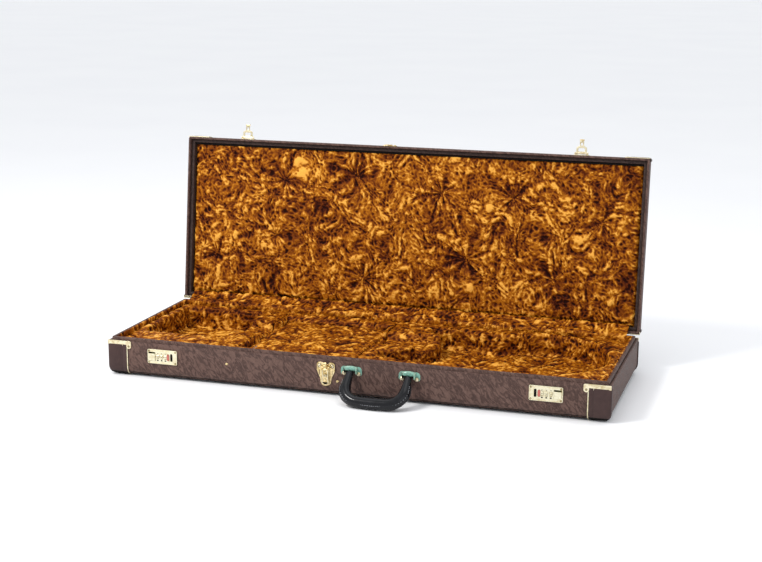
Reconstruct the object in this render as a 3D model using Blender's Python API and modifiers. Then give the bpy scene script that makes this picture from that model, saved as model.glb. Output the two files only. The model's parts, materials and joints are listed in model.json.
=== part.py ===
"""A hard rectangular guitar case, standing open on a floor.

Metres, +Z up. X runs along the case, -Y is the front (handle and lock side), and z = 0 is the
floor. Every mesh is drawn with the lid closed, in case coordinates; the pieces of the lid hang
from an empty on the hinge axis, and that empty turns them to the open pose."""

import math

import bmesh
import bpy
from mathutils import Matrix, Vector

# ---- driving dimensions ----------------------------------------------------------------------
LENGTH = 1.025
WIDTH = 0.362
TRAY_HEIGHT = 0.0706
LID_DEPTH = 0.0430
WALL = 0.0045  # plywood with its vinyl
EDGE_RADIUS = 0.010  # rounded outer edges of both shells
GAP = 0.0003  # between pieces that touch
SEAM = 0.0024  # between the two rims when the lid is shut
OPEN_ANGLE = math.radians(96.5)

PATCH_THICKNESS = 0.0018
PATCH_REACH = 0.0409  # how far a leather corner runs along the case
PATCH_WRAP = 0.0135  # how far it comes round onto the case's end
FLOOR_TO_TRAY = GAP + PATCH_THICKNESS  # the case stands on its leather corners
RIM = FLOOR_TO_TRAY + TRAY_HEIGHT
LID_RIM = RIM + SEAM
LID_TOP = LID_RIM + LID_DEPTH
FRONT = -WIDTH / 2
REAR = WIDTH / 2

TONGUE_INSET = 0.0052  # the raised liner board inside the tray's rim
TONGUE_THICKNESS = 0.0060
TONGUE_RISE = 0.0062
LINING_FLOOR = FLOOR_TO_TRAY + WALL + GAP
LID_FRAME_INSET = 0.0050
LID_FRAME_THICKNESS = 0.0070
LID_FRAME_RECESS = 0.0075  # from the lid's rim down to its inner frame
LID_PAD_RECESS = 0.0145  # from the lid's rim down to the plush panel

TRIM_DROP = 0.0102  # height of the brass edge clamps
TRIM_THICKNESS = 0.0007
TRIM_REACH = 0.0520
LOBE_WIDTH = 0.0102
LOBE_HEIGHT = 0.0180
LOBE_THICKNESS = 0.0016
STRIP_WIDTH = 0.0037
STRIP_THICKNESS = 0.0010
STRIP_OVERLAP = 0.002  # where the strip runs up under its lobe
RIVET_DROP = 0.0135  # from the rim down to the clamp's rivet

HINGE_Y = REAR + 0.0053
HINGE_Z = RIM + SEAM / 2
HINGE_PLACES = {"left": -0.330, "centre": 0.0, "right": 0.330}
KNUCKLE_RADIUS = 0.0026
PIN_RADIUS = 0.0013

LOCK_X = 0.3915
LOCK_Z = FLOOR_TO_TRAY + 0.045
LOCK_WIDTH = 0.0645
LOCK_HEIGHT = 0.0295
LOCK_PLATE = 0.0030
LOCK_DEPTH = 0.0120  # from the case's front face back to the housing's end
DIAL_RADIUS = 0.0075
DIAL_WIDTH = 0.0048
DIAL_PROUD = 0.0013
DIAL_OFFSETS = (-0.0096, -0.0012, 0.0072)
BUTTON_OFFSET = -0.0227
BUTTON_SIZE = 0.0146
BUTTON_TRAVEL = 0.0025
RESET_OFFSET = 0.0129
SLOT_OFFSET = 0.0201

HASP_PIVOT_Y = FRONT - 0.0046
HASP_PIVOT_Z = LID_RIM + 0.0028
HASP_REACH = 0.0245  # pivot to the peg that enters the lock's slot

LATCH_X = -0.043
LATCH_BASE_Z = FLOOR_TO_TRAY + 0.019
LATCH_TOP_Z = FLOOR_TO_TRAY + 0.0655
LEVER_PIVOT_Y = FRONT - 0.0052
LEVER_PIVOT_Z = FLOOR_TO_TRAY + 0.0560
BAIL_PIVOT_Y = FRONT - 0.0088
BAIL_PIVOT_Z = FLOOR_TO_TRAY + 0.0530
BARREL_Z = FLOOR_TO_TRAY + 0.0400

HANDLE_X = 0.068
HANDLE_SPREAD = 0.117  # between the two end pivots
HANDLE_PIVOT_Y = FRONT - 0.0070
HANDLE_PIVOT_Z = FLOOR_TO_TRAY + 0.0540
HANDLE_DROP = 0.067  # pivot to the middle of the grip
GRIP_RADIUS = 0.0115
HANDLE_END_RADIUS = 0.0045
HANDLE_TILT = math.acos((HANDLE_PIVOT_Z - GRIP_RADIUS - GAP) / HANDLE_DROP)

PAD_TOP = FLOOR_TO_TRAY + 0.0660
PAD_INSET = TONGUE_INSET + TONGUE_THICKNESS + 2 * GAP
BOX_LEFT = -0.2515
BOX_RIGHT = 0.0015
WELL_FLOOR = 0.022
FLAP_LEFT = -0.2425
FLAP_RIGHT = -0.0075
FLAP_HALF_DEPTH = 0.1345
FLAP_TOP = 0.0570
FLAP_THICKNESS = 0.0070

# The case's frame is centred on the open object: forward to the handle, back to the lid's top.
FRONT_REACH = HANDLE_PIVOT_Y - HANDLE_DROP * math.sin(HANDLE_TILT) - GRIP_RADIUS
REAR_REACH = (
    HINGE_Y
    + (HINGE_Y - FRONT) * -math.cos(OPEN_ANGLE)
    + (LID_TOP - HINGE_Z) * math.sin(OPEN_ANGLE)
)
FRAME_Y = -(FRONT_REACH + REAR_REACH) / 2

SIDES = {"left": -1, "right": 1}
ENDS = {"front": -1, "rear": 1}


# ---- scene helpers ---------------------------------------------------------------------------
def start_scene():
    """Empties the scene and makes the two collections: the case, and the cutters."""
    for obj in list(bpy.data.objects):
        bpy.data.objects.remove(obj)
    made = []
    for name in ("guitar_case", "cutters"):
        collection = bpy.data.collections.new(name)
        bpy.context.scene.collection.children.link(collection)
        made.append(collection)
    return made


CASE, CUTTERS = start_scene()


def material(name, colour, roughness, metallic=0.0):
    made = bpy.data.materials.new(name)
    made.use_nodes = True
    shader = made.node_tree.nodes["Principled BSDF"]
    shader.inputs["Base Color"].default_value = (*colour, 1.0)
    shader.inputs["Roughness"].default_value = roughness
    shader.inputs["Metallic"].default_value = metallic
    made.diffuse_color = (*colour, 1.0)
    return made


VINYL = material("vinyl", (0.130, 0.090, 0.075), 0.6)
PATCH_LEATHER = material("patch_leather", (0.080, 0.050, 0.045), 0.5)
LINER = material("liner_board", (0.045, 0.028, 0.024), 0.6)
PLUSH = material("plush", (0.520, 0.200, 0.020), 0.9)
BRASS = material("brass", (0.800, 0.680, 0.380), 0.25, 1.0)
VERDIGRIS = material("painted_bracket", (0.130, 0.420, 0.330), 0.4, 0.3)
HANDLE_LEATHER = material("handle_leather", (0.012, 0.013, 0.016), 0.35)
RED = material("red_enamel", (0.500, 0.030, 0.020), 0.4)
TAB_LEATHER = material("tab_leather", (0.190, 0.120, 0.085), 0.7)


def pivot(name, place, parent=None):
    """An empty at a place in case coordinates, from which a moving body hangs."""
    empty = bpy.data.objects.new(name, None)
    CASE.objects.link(empty)
    empty["place"] = place
    empty.parent = parent
    base = Vector(parent["place"]) if parent else Vector((0, 0, 0))
    empty.location = Vector(place) - base
    return empty


FRAME = pivot("case_frame", (0, 0, 0))
FRAME.location.y = FRAME_Y
LID = pivot("lid_hinge_axis", (0, HINGE_Y, HINGE_Z), FRAME)
LID.rotation_euler.x = -OPEN_ANGLE


def place(obj, owner, finish=None, helper=False):
    """Hangs a piece drawn in case coordinates from its body's empty."""
    (CUTTERS if helper else CASE).objects.link(obj)
    obj.parent = owner
    obj.location = -Vector(owner["place"])
    if helper:
        obj.hide_render = True
        obj.display_type = "WIRE"
    if finish:
        obj.data.materials.append(finish)
    return obj


def mesh_object(name, bm):
    mesh = bpy.data.meshes.new(name)
    bm.to_mesh(mesh)
    bm.free()
    return bpy.data.objects.new(name, mesh)


def smooth(obj, angle=40):
    obj.data.shade_smooth()
    obj.data.set_sharp_from_angle(angle=math.radians(angle))
    return obj


def box(name, low, high, bevel=0.0, segments=2):
    """A box between two corners, with its edges rounded where bevel is given."""
    bm = bmesh.new()
    bmesh.ops.create_cube(bm, size=1)
    low = Vector(low)
    high = Vector(high)
    size = high - low
    bmesh.ops.scale(bm, vec=size, verts=bm.verts)
    bmesh.ops.translate(bm, vec=(low + high) / 2, verts=bm.verts)
    obj = mesh_object(name, bm)
    if bevel:
        rounding = obj.modifiers.new("rounding", "BEVEL")
        rounding.width = bevel
        rounding.segments = segments
        rounding.limit_method = "ANGLE"
    return obj


def rod(name, centre, axis, radius, length, sides=16, top_radius=None):
    """A cylinder, or a cone with a second radius, centred on a point along X, Y or Z."""
    bm = bmesh.new()
    bmesh.ops.create_cone(
        bm,
        cap_ends=True,
        segments=sides,
        radius1=radius,
        radius2=radius if top_radius is None else top_radius,
        depth=length,
    )
    turn = Vector((0, 0, 1)).rotation_difference(Vector(axis)).to_matrix().to_4x4()
    bmesh.ops.transform(bm, matrix=Matrix.Translation(centre) @ turn, verts=bm.verts)
    return mesh_object(name, bm)


def dome(name, centre, axis, radius, height):
    """A low rivet or screw head standing on a surface, sunk a little into it."""
    sink = 0.0004
    middle = Vector(centre) + Vector(axis) * (height - sink) / 2
    return rod(name, middle, axis, radius, height + sink, sides=10, top_radius=radius * 0.55)


def combine(base, others, operation):
    """Adds a Boolean to base for each of the other pieces, which become helpers."""
    for other in others:
        step = base.modifiers.new(operation.lower() + "_" + other.name, "BOOLEAN")
        step.operation = operation
        step.solver = "EXACT"
        step.object = other
    return base


def join(base, owner, others):
    return combine(base, [place(other, owner, helper=True) for other in others], "UNION")


def cut(base, owner, others):
    return combine(base, [place(other, owner, helper=True) for other in others], "DIFFERENCE")


def solidify(obj, thickness, offset):
    """Gives a skin its thickness: offset 1 grows it outwards, -1 inwards."""
    shell = obj.modifiers.new("thickness", "SOLIDIFY")
    shell.thickness = thickness
    shell.offset = offset
    shell.use_even_offset = True
    return obj


def keep_side(bm, point, normal):
    """Cuts the skin by a plane and keeps the side that the normal points to."""
    geometry = bm.verts[:] + bm.edges[:] + bm.faces[:]
    bmesh.ops.bisect_plane(bm, geom=geometry, plane_co=point, plane_no=normal, clear_inner=True)


def skin(half_x, half_y, z_low, z_high, radius, open_face, rounded="all"):
    """The outside surface of a box with one face missing and its edges rounded."""
    bm = bmesh.new()
    bmesh.ops.create_cube(bm, size=1)
    bmesh.ops.scale(bm, vec=(2 * half_x, 2 * half_y, z_high - z_low), verts=bm.verts)
    bmesh.ops.translate(bm, vec=(0, 0, (z_low + z_high) / 2), verts=bm.verts)
    way = {"top": 1, "bottom": -1}
    shut = [f for f in bm.faces if f.normal.z * way[open_face] > 0.5]
    bmesh.ops.delete(bm, geom=shut, context="FACES_ONLY")
    edges = [e for e in bm.edges if not e.is_boundary]
    if rounded == "upright":
        edges = [e for e in edges if abs(e.verts[0].co.z - e.verts[1].co.z) > 1e-6]
    bmesh.ops.bevel(bm, geom=edges, offset=radius, segments=3, profile=0.5, affect="EDGES")
    return bm


def ring(name, owner, finish, inset, z_low, z_high, thickness, radius):
    """An upright wall all round, inset from the case's outer faces, with square inside corners."""
    bm = skin(LENGTH / 2 - inset, WIDTH / 2 - inset, z_low, z_high, radius, "top", "upright")
    bmesh.ops.holes_fill(bm, edges=[e for e in bm.edges if e.is_boundary])
    wall = place(smooth(mesh_object(name, bm)), owner, finish)
    half_x = LENGTH / 2 - inset - thickness
    half_y = WIDTH / 2 - inset - thickness
    spare = 0.001
    inside = box(name + "_inside", (-half_x, -half_y, z_low - spare), (half_x, half_y, z_high + spare))
    return cut(wall, owner, [inside])


def rounded_outline(corners, arc_steps=4):
    """A closed outline of (u, v) points from corners (u, v, radius)."""
    points = []
    count = len(corners)
    for i, (u, v, radius) in enumerate(corners):
        here = Vector((u, v))
        before = (Vector(corners[i - 1][:2]) - here).normalized()
        after = (Vector(corners[(i + 1) % count][:2]) - here).normalized()
        half = before.angle(after) / 2
        reach = radius / math.tan(half)
        centre = here + (before + after).normalized() * radius / math.sin(half)
        start = here + before * reach - centre
        sweep = (here + after * reach - centre).angle_signed(start)
        for step in range(arc_steps + 1):
            points.append(centre + Matrix.Rotation(sweep * step / arc_steps, 2) @ start)
    return points


def flat_plate(name, outline, thickness):
    """A plate in the X-Z plane from an outline: its back face at y = 0, its front at -thickness."""
    curve = bpy.data.curves.new(name, "CURVE")
    curve.dimensions = "2D"
    curve.fill_mode = "BOTH"
    curve.extrude = thickness / 2
    spline = curve.splines.new("POLY")
    spline.points.add(len(outline) - 1)
    for point, (u, v) in zip(spline.points, outline):
        point.co = (u, v, 0, 1)
    spline.use_cyclic_u = True
    upright = Matrix.Translation((0, -thickness / 2, 0)) @ Matrix.Rotation(math.pi / 2, 4, "X")
    return meshed(name, curve, upright)


def meshed(name, curve, transform):
    """The curve as a closed mesh object, with its caps welded on."""
    guide = bpy.data.objects.new(name + "_guide", curve)
    CUTTERS.objects.link(guide)
    bpy.context.view_layer.update()
    graph = bpy.context.evaluated_depsgraph_get()
    mesh = bpy.data.meshes.new_from_object(guide.evaluated_get(graph))
    bpy.data.objects.remove(guide)
    bm = bmesh.new()
    bm.from_mesh(mesh)
    bpy.data.meshes.remove(mesh)
    bmesh.ops.remove_doubles(bm, verts=bm.verts, dist=1e-6)
    bmesh.ops.transform(bm, matrix=transform, verts=bm.verts)
    bmesh.ops.recalc_face_normals(bm, faces=bm.faces)
    return mesh_object(name, bm)


def shifted(obj, offset):
    obj.data.transform(Matrix.Translation(offset))
    return obj


# ---- shells, leather corners and brass edge trim -----------------------------------------------
def lock_cutters(tag, depth):
    """The two openings in the front wall through which the lock housings pass."""
    made = []
    for side, sign in SIDES.items():
        x = sign * LOCK_X
        low = (x - 0.0296, FRONT - 0.001, LOCK_Z - 0.0126)
        high = (x + 0.0296, FRONT + depth, LOCK_Z + 0.0126)
        made.append(box("lock_opening_" + tag + "_" + side, low, high))
    return made


def make_tray():
    bm = skin(LENGTH / 2, WIDTH / 2, FLOOR_TO_TRAY, RIM, EDGE_RADIUS, "top")
    shell = solidify(mesh_object("tray_shell", bm), WALL, -1)
    place(shell, FRAME, VINYL)
    cut(smooth(shell), FRAME, lock_cutters("shell", 0.007))

    tongue = ring(
        "tray_liner_board",
        FRAME,
        LINER,
        TONGUE_INSET,
        FLOOR_TO_TRAY + EDGE_RADIUS,
        RIM + TONGUE_RISE,
        TONGUE_THICKNESS,
        EDGE_RADIUS - TONGUE_INSET,
    )
    cut(tongue, FRAME, lock_cutters("liner", 0.0135))


def make_lid():
    bm = skin(LENGTH / 2, WIDTH / 2, LID_RIM, LID_TOP, EDGE_RADIUS, "bottom")
    place(smooth(solidify(mesh_object("lid_shell", bm), WALL, -1)), LID, VINYL)
    ring(
        "lid_inner_frame",
        LID,
        LINER,
        LID_FRAME_INSET,
        LID_RIM + LID_FRAME_RECESS,
        LID_TOP - EDGE_RADIUS,
        LID_FRAME_THICKNESS,
        EDGE_RADIUS - LID_FRAME_INSET,
    )
    reach = LID_FRAME_INSET + LID_FRAME_THICKNESS + 2 * GAP
    half_x = LENGTH / 2 - reach
    half_y = WIDTH / 2 - reach
    low = (-half_x, -half_y, LID_RIM + LID_PAD_RECESS)
    high = (half_x, half_y, LID_TOP - WALL - GAP)
    place(smooth(box("lid_plush_panel", low, high, bevel=0.005)), LID, PLUSH)


def make_patch(part, owner, x_side, y_side):
    """A leather corner over three faces of the tray or the lid."""
    sx = SIDES[x_side]
    sy = ENDS[y_side]
    grow = GAP
    if part == "tray":
        spans = (FLOOR_TO_TRAY - grow, RIM - TRIM_DROP - 2 * GAP, "top")
        edge = (0, 0, -1)
    else:
        spans = (LID_RIM + TRIM_DROP + 2 * GAP, LID_TOP + grow, "bottom")
        edge = (0, 0, 1)
    half_x = LENGTH / 2 + grow
    half_y = WIDTH / 2 + grow
    bm = skin(half_x, half_y, spans[0], spans[1], EDGE_RADIUS + grow, spans[2])
    keep_side(bm, (sx * (LENGTH / 2 - PATCH_REACH), 0, 0), (sx, 0, 0))
    keep_side(bm, (0, sy * (WIDTH / 2 - PATCH_REACH), 0), (0, sy, 0))
    wrap = sy * (WIDTH / 2 - PATCH_WRAP)
    everything = bm.verts[:] + bm.edges[:] + bm.faces[:]
    bmesh.ops.bisect_plane(bm, geom=everything, plane_co=(0, wrap, 0), plane_no=(0, sy, 0))
    on_end = [f for f in bm.faces if f.normal.x * sx > 0.3]
    spare = [f for f in on_end if (f.calc_center_median().y - wrap) * sy < 0]
    bmesh.ops.delete(bm, geom=spare, context="FACES")
    name = f"{part}_corner_{y_side}_{x_side}"
    patch = solidify(mesh_object(name, bm), PATCH_THICKNESS, 1)
    place(smooth(patch), owner, PATCH_LEATHER)


def edge_lobe(tag, part, x_side, y_side):
    """The riveted lobe at the end of an edge clamp and the thin strip that runs on from it."""
    sx = SIDES[x_side]
    sy = ENDS[y_side]
    up = 1 if part == "tray" else -1
    rim = RIM if part == "tray" else LID_RIM
    far = FLOOR_TO_TRAY + EDGE_RADIUS if part == "tray" else LID_TOP - EDGE_RADIUS
    face = WIDTH / 2 + GAP
    inner_edge = LENGTH / 2 - PATCH_REACH - GAP

    def bar(name, width, z_a, z_b, thickness, bevel):
        """A bar on the long face, lying against the leather corner's edge."""
        low = (sx * (inner_edge - width), sy * face, z_a)
        high = (sx * inner_edge, sy * (face + thickness), z_b)
        return box(name, list(map(min, low, high)), list(map(max, low, high)), bevel)

    lobe_end = rim - up * LOBE_HEIGHT
    strip_start = lobe_end + up * STRIP_OVERLAP
    lobe = bar(tag + "_lobe", LOBE_WIDTH, rim + up * (GAP / 2), lobe_end, LOBE_THICKNESS, 0.0006)
    strip = bar(tag + "_strip", STRIP_WIDTH, strip_start, far, STRIP_THICKNESS, 0)
    centre = (sx * (inner_edge - LOBE_WIDTH / 2), sy * (face + LOBE_THICKNESS), rim - up * RIVET_DROP)
    rivet = dome(tag + "_rivet", centre, (0, sy, 0), 0.0030, 0.0011)
    return [lobe, strip, rivet]


def make_trim(part, owner, x_side, y_side):
    """A brass clamp folded over the rim at one corner, with a riveted end on the long face."""
    sx = SIDES[x_side]
    sy = ENDS[y_side]
    half_x = LENGTH / 2 + GAP
    half_y = WIDTH / 2 + GAP
    radius = EDGE_RADIUS + GAP
    if part == "tray":
        bm = skin(half_x, half_y, RIM - TRIM_DROP, RIM + GAP, radius, "bottom", "upright")
    else:
        bm = skin(half_x, half_y, LID_RIM - GAP, LID_RIM + TRIM_DROP, radius, "top", "upright")
    flat = [f for f in bm.faces if abs(f.normal.z) > 0.5]
    bmesh.ops.inset_region(bm, faces=flat, thickness=WALL, use_even_offset=True)
    bmesh.ops.delete(bm, geom=flat, context="FACES")
    keep_side(bm, (sx * (LENGTH / 2 - TRIM_REACH), 0, 0), (sx, 0, 0))
    keep_side(bm, (0, sy * (WIDTH / 2 - PATCH_WRAP), 0), (0, sy, 0))
    name = f"{part}_trim_{y_side}_{x_side}"
    trim = solidify(mesh_object(name, bm), TRIM_THICKNESS, 1)
    place(smooth(trim, 30), owner, BRASS)
    join(trim, owner, edge_lobe(name, part, x_side, y_side))


def make_hinge(tag, centre_x):
    """One brass butt hinge: the tray's leaf carries the pin, the lid's leaf is bored for it."""
    width = 0.050
    knuckle = width / 5
    play = 0.0002

    def leaf(name, owner, up, places):
        """A leaf on the rear face, with a web and a barrel at each of its knuckles."""
        y_low = REAR + GAP
        y_high = y_low + 0.0012
        z_near = HINGE_Z + up * 0.0032
        z_far = HINGE_Z + up * 0.0230
        z_span = sorted((z_near, z_far))
        half = width / 2
        plate = box(name, (centre_x - half, y_low, z_span[0]), (centre_x + half, y_high, z_span[1]))
        place(plate, owner, BRASS)
        pieces = []
        for number in places:
            x_low = centre_x - half + number * knuckle + play
            x_high = x_low + knuckle - 2 * play
            web_z = sorted((HINGE_Z + up * 0.0012, HINGE_Z + up * 0.0044))
            web_low = (x_low, y_low + 0.0002, web_z[0])
            web_high = (x_high, HINGE_Y - 0.0004, web_z[1])
            pieces.append(box(f"{name}_web_{number}", web_low, web_high))
            middle = ((x_low + x_high) / 2, HINGE_Y, HINGE_Z)
            length = x_high - x_low
            pieces.append(
                rod(f"{name}_barrel_{number}", middle, (1, 0, 0), KNUCKLE_RADIUS, length, 12)
            )
        for column in (-1, 1):
            spot = (centre_x + column * 0.017, y_high, HINGE_Z + up * 0.0150)
            pieces.append(dome(f"{name}_rivet_{column + 1}", spot, (0, 1, 0), 0.0028, 0.0009))
        return join(plate, owner, pieces)

    tray_leaf = leaf(f"hinge_{tag}_tray_leaf", FRAME, -1, (0, 2, 4))
    length = width - 2 * play
    pin = rod(f"hinge_{tag}_pin", (centre_x, HINGE_Y, HINGE_Z), (1, 0, 0), PIN_RADIUS, length, 12)
    join(tray_leaf, FRAME, [pin])
    lid_leaf = leaf(f"hinge_{tag}_lid_leaf", LID, 1, (1, 3))
    bore = rod(
        f"hinge_{tag}_bore",
        (centre_x, HINGE_Y, HINGE_Z),
        (1, 0, 0),
        PIN_RADIUS + 0.0002,
        width,
        12,
    )
    cut(lid_leaf, LID, [bore])


# ---- combination locks and their hasps ----------------------------------------------------------
def make_lock(side):
    """A combination lock: a plate with a housing behind it, dials, a button and a reset bar."""
    inward = -SIDES[side]  # the slot is on the side nearer the middle of the case
    centre = SIDES[side] * LOCK_X

    def at(offset):
        return centre + inward * offset

    front = FRONT - GAP - LOCK_PLATE
    low = (centre - LOCK_WIDTH / 2, front, LOCK_Z - LOCK_HEIGHT / 2)
    high = (centre + LOCK_WIDTH / 2, FRONT - GAP, LOCK_Z + LOCK_HEIGHT / 2)
    body = box(f"lock_body_{side}", low, high, bevel=0.0008, segments=1)
    place(body, FRAME, BRASS)
    tag = f"lock_{side}"
    housing = box(
        tag + "_housing",
        (centre - 0.029, FRONT - 0.0010, LOCK_Z - 0.012),
        (centre + 0.029, FRONT + LOCK_DEPTH, LOCK_Z + 0.012),
    )
    screws = [
        dome(f"{tag}_screw_{u:.0f}_{v:.0f}", (at(u * 0.0292), front, LOCK_Z + v * 0.0122), (0, -1, 0), 0.0018, 0.0007)
        for u in (-1, 1)
        for v in (-1, 1)
    ]
    join(body, FRAME, [housing, *screws])

    dial_y = front - DIAL_PROUD + DIAL_RADIUS
    wells = []
    for number, offset in enumerate(DIAL_OFFSETS, 1):
        spot = (at(offset), dial_y, LOCK_Z)
        name = f"{tag}_dial_well_{number}"
        wells.append(rod(name, spot, (1, 0, 0), DIAL_RADIUS + GAP, DIAL_WIDTH + 2 * GAP, 24))
    half = BUTTON_SIZE / 2 + GAP
    well_half = half + BUTTON_TRAVEL / 2 + GAP / 2
    wells.append(
        box(
            tag + "_button_well",
            (at(BUTTON_OFFSET) - half, front - 0.001, LOCK_Z - well_half),
            (at(BUTTON_OFFSET) + half, FRONT - 0.0007, LOCK_Z + well_half),
        )
    )
    wells.append(
        box(
            tag + "_reset_well",
            (at(RESET_OFFSET) - 0.0023, front - 0.001, LOCK_Z - 0.0063),
            (at(RESET_OFFSET) + 0.0023, FRONT + 0.0015, LOCK_Z + 0.0063),
        )
    )
    wells.append(
        box(
            tag + "_slot",
            (at(SLOT_OFFSET) - 0.0021, front - 0.001, LOCK_Z - 0.0075),
            (at(SLOT_OFFSET) + 0.0021, FRONT + 0.0090, LOCK_Z + 0.0075),
        )
    )
    cut(body, FRAME, wells)
    axle_x = (at(DIAL_OFFSETS[0] - 0.0035), at(DIAL_OFFSETS[-1] + 0.0035))
    axle = rod(
        tag + "_axle",
        ((axle_x[0] + axle_x[1]) / 2, dial_y, LOCK_Z),
        (1, 0, 0),
        0.0015,
        abs(axle_x[1] - axle_x[0]),
        12,
    )
    join(body, FRAME, [axle])

    for number, offset in enumerate(DIAL_OFFSETS, 1):
        spot = (at(offset), dial_y, LOCK_Z)
        axis = pivot(f"dial_{side}_{number}_axis", spot, FRAME)
        dial = rod(f"dial_{side}_{number}", spot, (1, 0, 0), DIAL_RADIUS, DIAL_WIDTH, 20)
        place(smooth(dial, 30), axis, BRASS)
        cut(dial, axis, [rod(f"dial_bore_{side}_{number}", spot, (1, 0, 0), 0.0018, 0.01, 12)])

    half = BUTTON_SIZE / 2
    button_z = LOCK_Z - well_half + GAP + half
    spot = (at(BUTTON_OFFSET), front, button_z)
    slide = pivot(f"button_{side}_slide", spot, FRAME)
    button = box(
        f"release_button_{side}",
        (spot[0] - half, front - 0.0019, button_z - half),
        (spot[0] + half, FRONT - 0.0010, button_z + half),
        bevel=0.0008,
        segments=1,
    )
    place(button, slide, BRASS)

    spot = (at(RESET_OFFSET), front, LOCK_Z)
    slide = pivot(f"reset_{side}_slide", spot, FRAME)
    reset = box(
        f"reset_bar_{side}",
        (spot[0] - 0.0020, front - 0.0012, LOCK_Z - 0.0060),
        (spot[0] + 0.0020, FRONT, LOCK_Z + 0.0060),
        bevel=0.0005,
        segments=1,
    )
    place(reset, slide, RED)


def make_hasp(side):
    """A sprung hasp on the lid's front: its peg drops into the lock's slot."""
    centre = SIDES[side] * (LOCK_X - SLOT_OFFSET)
    back = FRONT - GAP
    base = box(
        f"hasp_base_{side}",
        (centre - 0.0165, back - 0.0012, LID_RIM + 0.0006),
        (centre + 0.0165, back, LID_RIM + 0.0115),
        bevel=0.0004,
        segments=1,
    )
    place(base, LID, BRASS)
    tag = f"hasp_{side}"
    spot = (centre, HASP_PIVOT_Y, HASP_PIVOT_Z)
    pieces = []
    for end in (-1, 1):
        ear_x = centre + end * 0.0132
        pieces.append(rod(f"{tag}_ear_{end + 1}", (ear_x, *spot[1:]), (1, 0, 0), 0.0024, 0.0022, 12))
        web_low = (ear_x - 0.0011, HASP_PIVOT_Y, HASP_PIVOT_Z - 0.0012)
        web_high = (ear_x + 0.0011, back - 0.0002, HASP_PIVOT_Z + 0.0014)
        pieces.append(box(f"{tag}_web_{end + 1}", web_low, web_high))
        rivet = (centre + end * 0.0100, back - 0.0012, LID_RIM + 0.0085)
        pieces.append(dome(f"{tag}_rivet_{end + 1}", rivet, (0, -1, 0), 0.0019, 0.0008))
    pieces.append(rod(f"{tag}_pin", spot, (1, 0, 0), 0.0009, 0.0262, 12))
    join(base, LID, pieces)

    axis = pivot(f"hasp_{side}_axis", spot, LID)
    thick = 0.0016
    arm = box(
        f"hasp_arm_{side}",
        (centre - 0.0112, HASP_PIVOT_Y - 0.0130, HASP_PIVOT_Z - thick / 2),
        (centre + 0.0112, HASP_PIVOT_Y, HASP_PIVOT_Z + thick / 2),
    )
    place(smooth(arm), axis, BRASS)
    peg_y = HASP_PIVOT_Y - HASP_REACH
    pieces = [
        rod(f"{tag}_barrel", spot, (1, 0, 0), 0.0021, 0.0224, 12),
        box(
            f"{tag}_tongue",
            (centre - 0.0050, peg_y - 0.0028, HASP_PIVOT_Z - thick / 2 + 0.0001),
            (centre + 0.0050, HASP_PIVOT_Y - 0.0120, HASP_PIVOT_Z + thick / 2 - 0.0001),
        ),
        box(
            f"{tag}_peg",
            (centre - 0.0016, peg_y - 0.0011, HASP_PIVOT_Z - 0.0062),
            (centre + 0.0016, peg_y + 0.0011, HASP_PIVOT_Z),
        ),
        rod(
            f"{tag}_curl",
            (centre, peg_y - 0.0028, HASP_PIVOT_Z + 0.0008),
            (1, 0, 0),
            0.0016,
            0.0098,
            12,
        ),
    ]
    join(arm, axis, pieces)
    window = box(
        f"{tag}_window",
        (centre - 0.0065, HASP_PIVOT_Y - 0.0105, HASP_PIVOT_Z - 0.002),
        (centre + 0.0065, HASP_PIVOT_Y - 0.0040, HASP_PIVOT_Z + 0.002),
    )
    bore = rod(f"{tag}_bore", spot, (1, 0, 0), 0.0011, 0.030, 12)
    cut(arm, axis, [window, bore])


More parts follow.
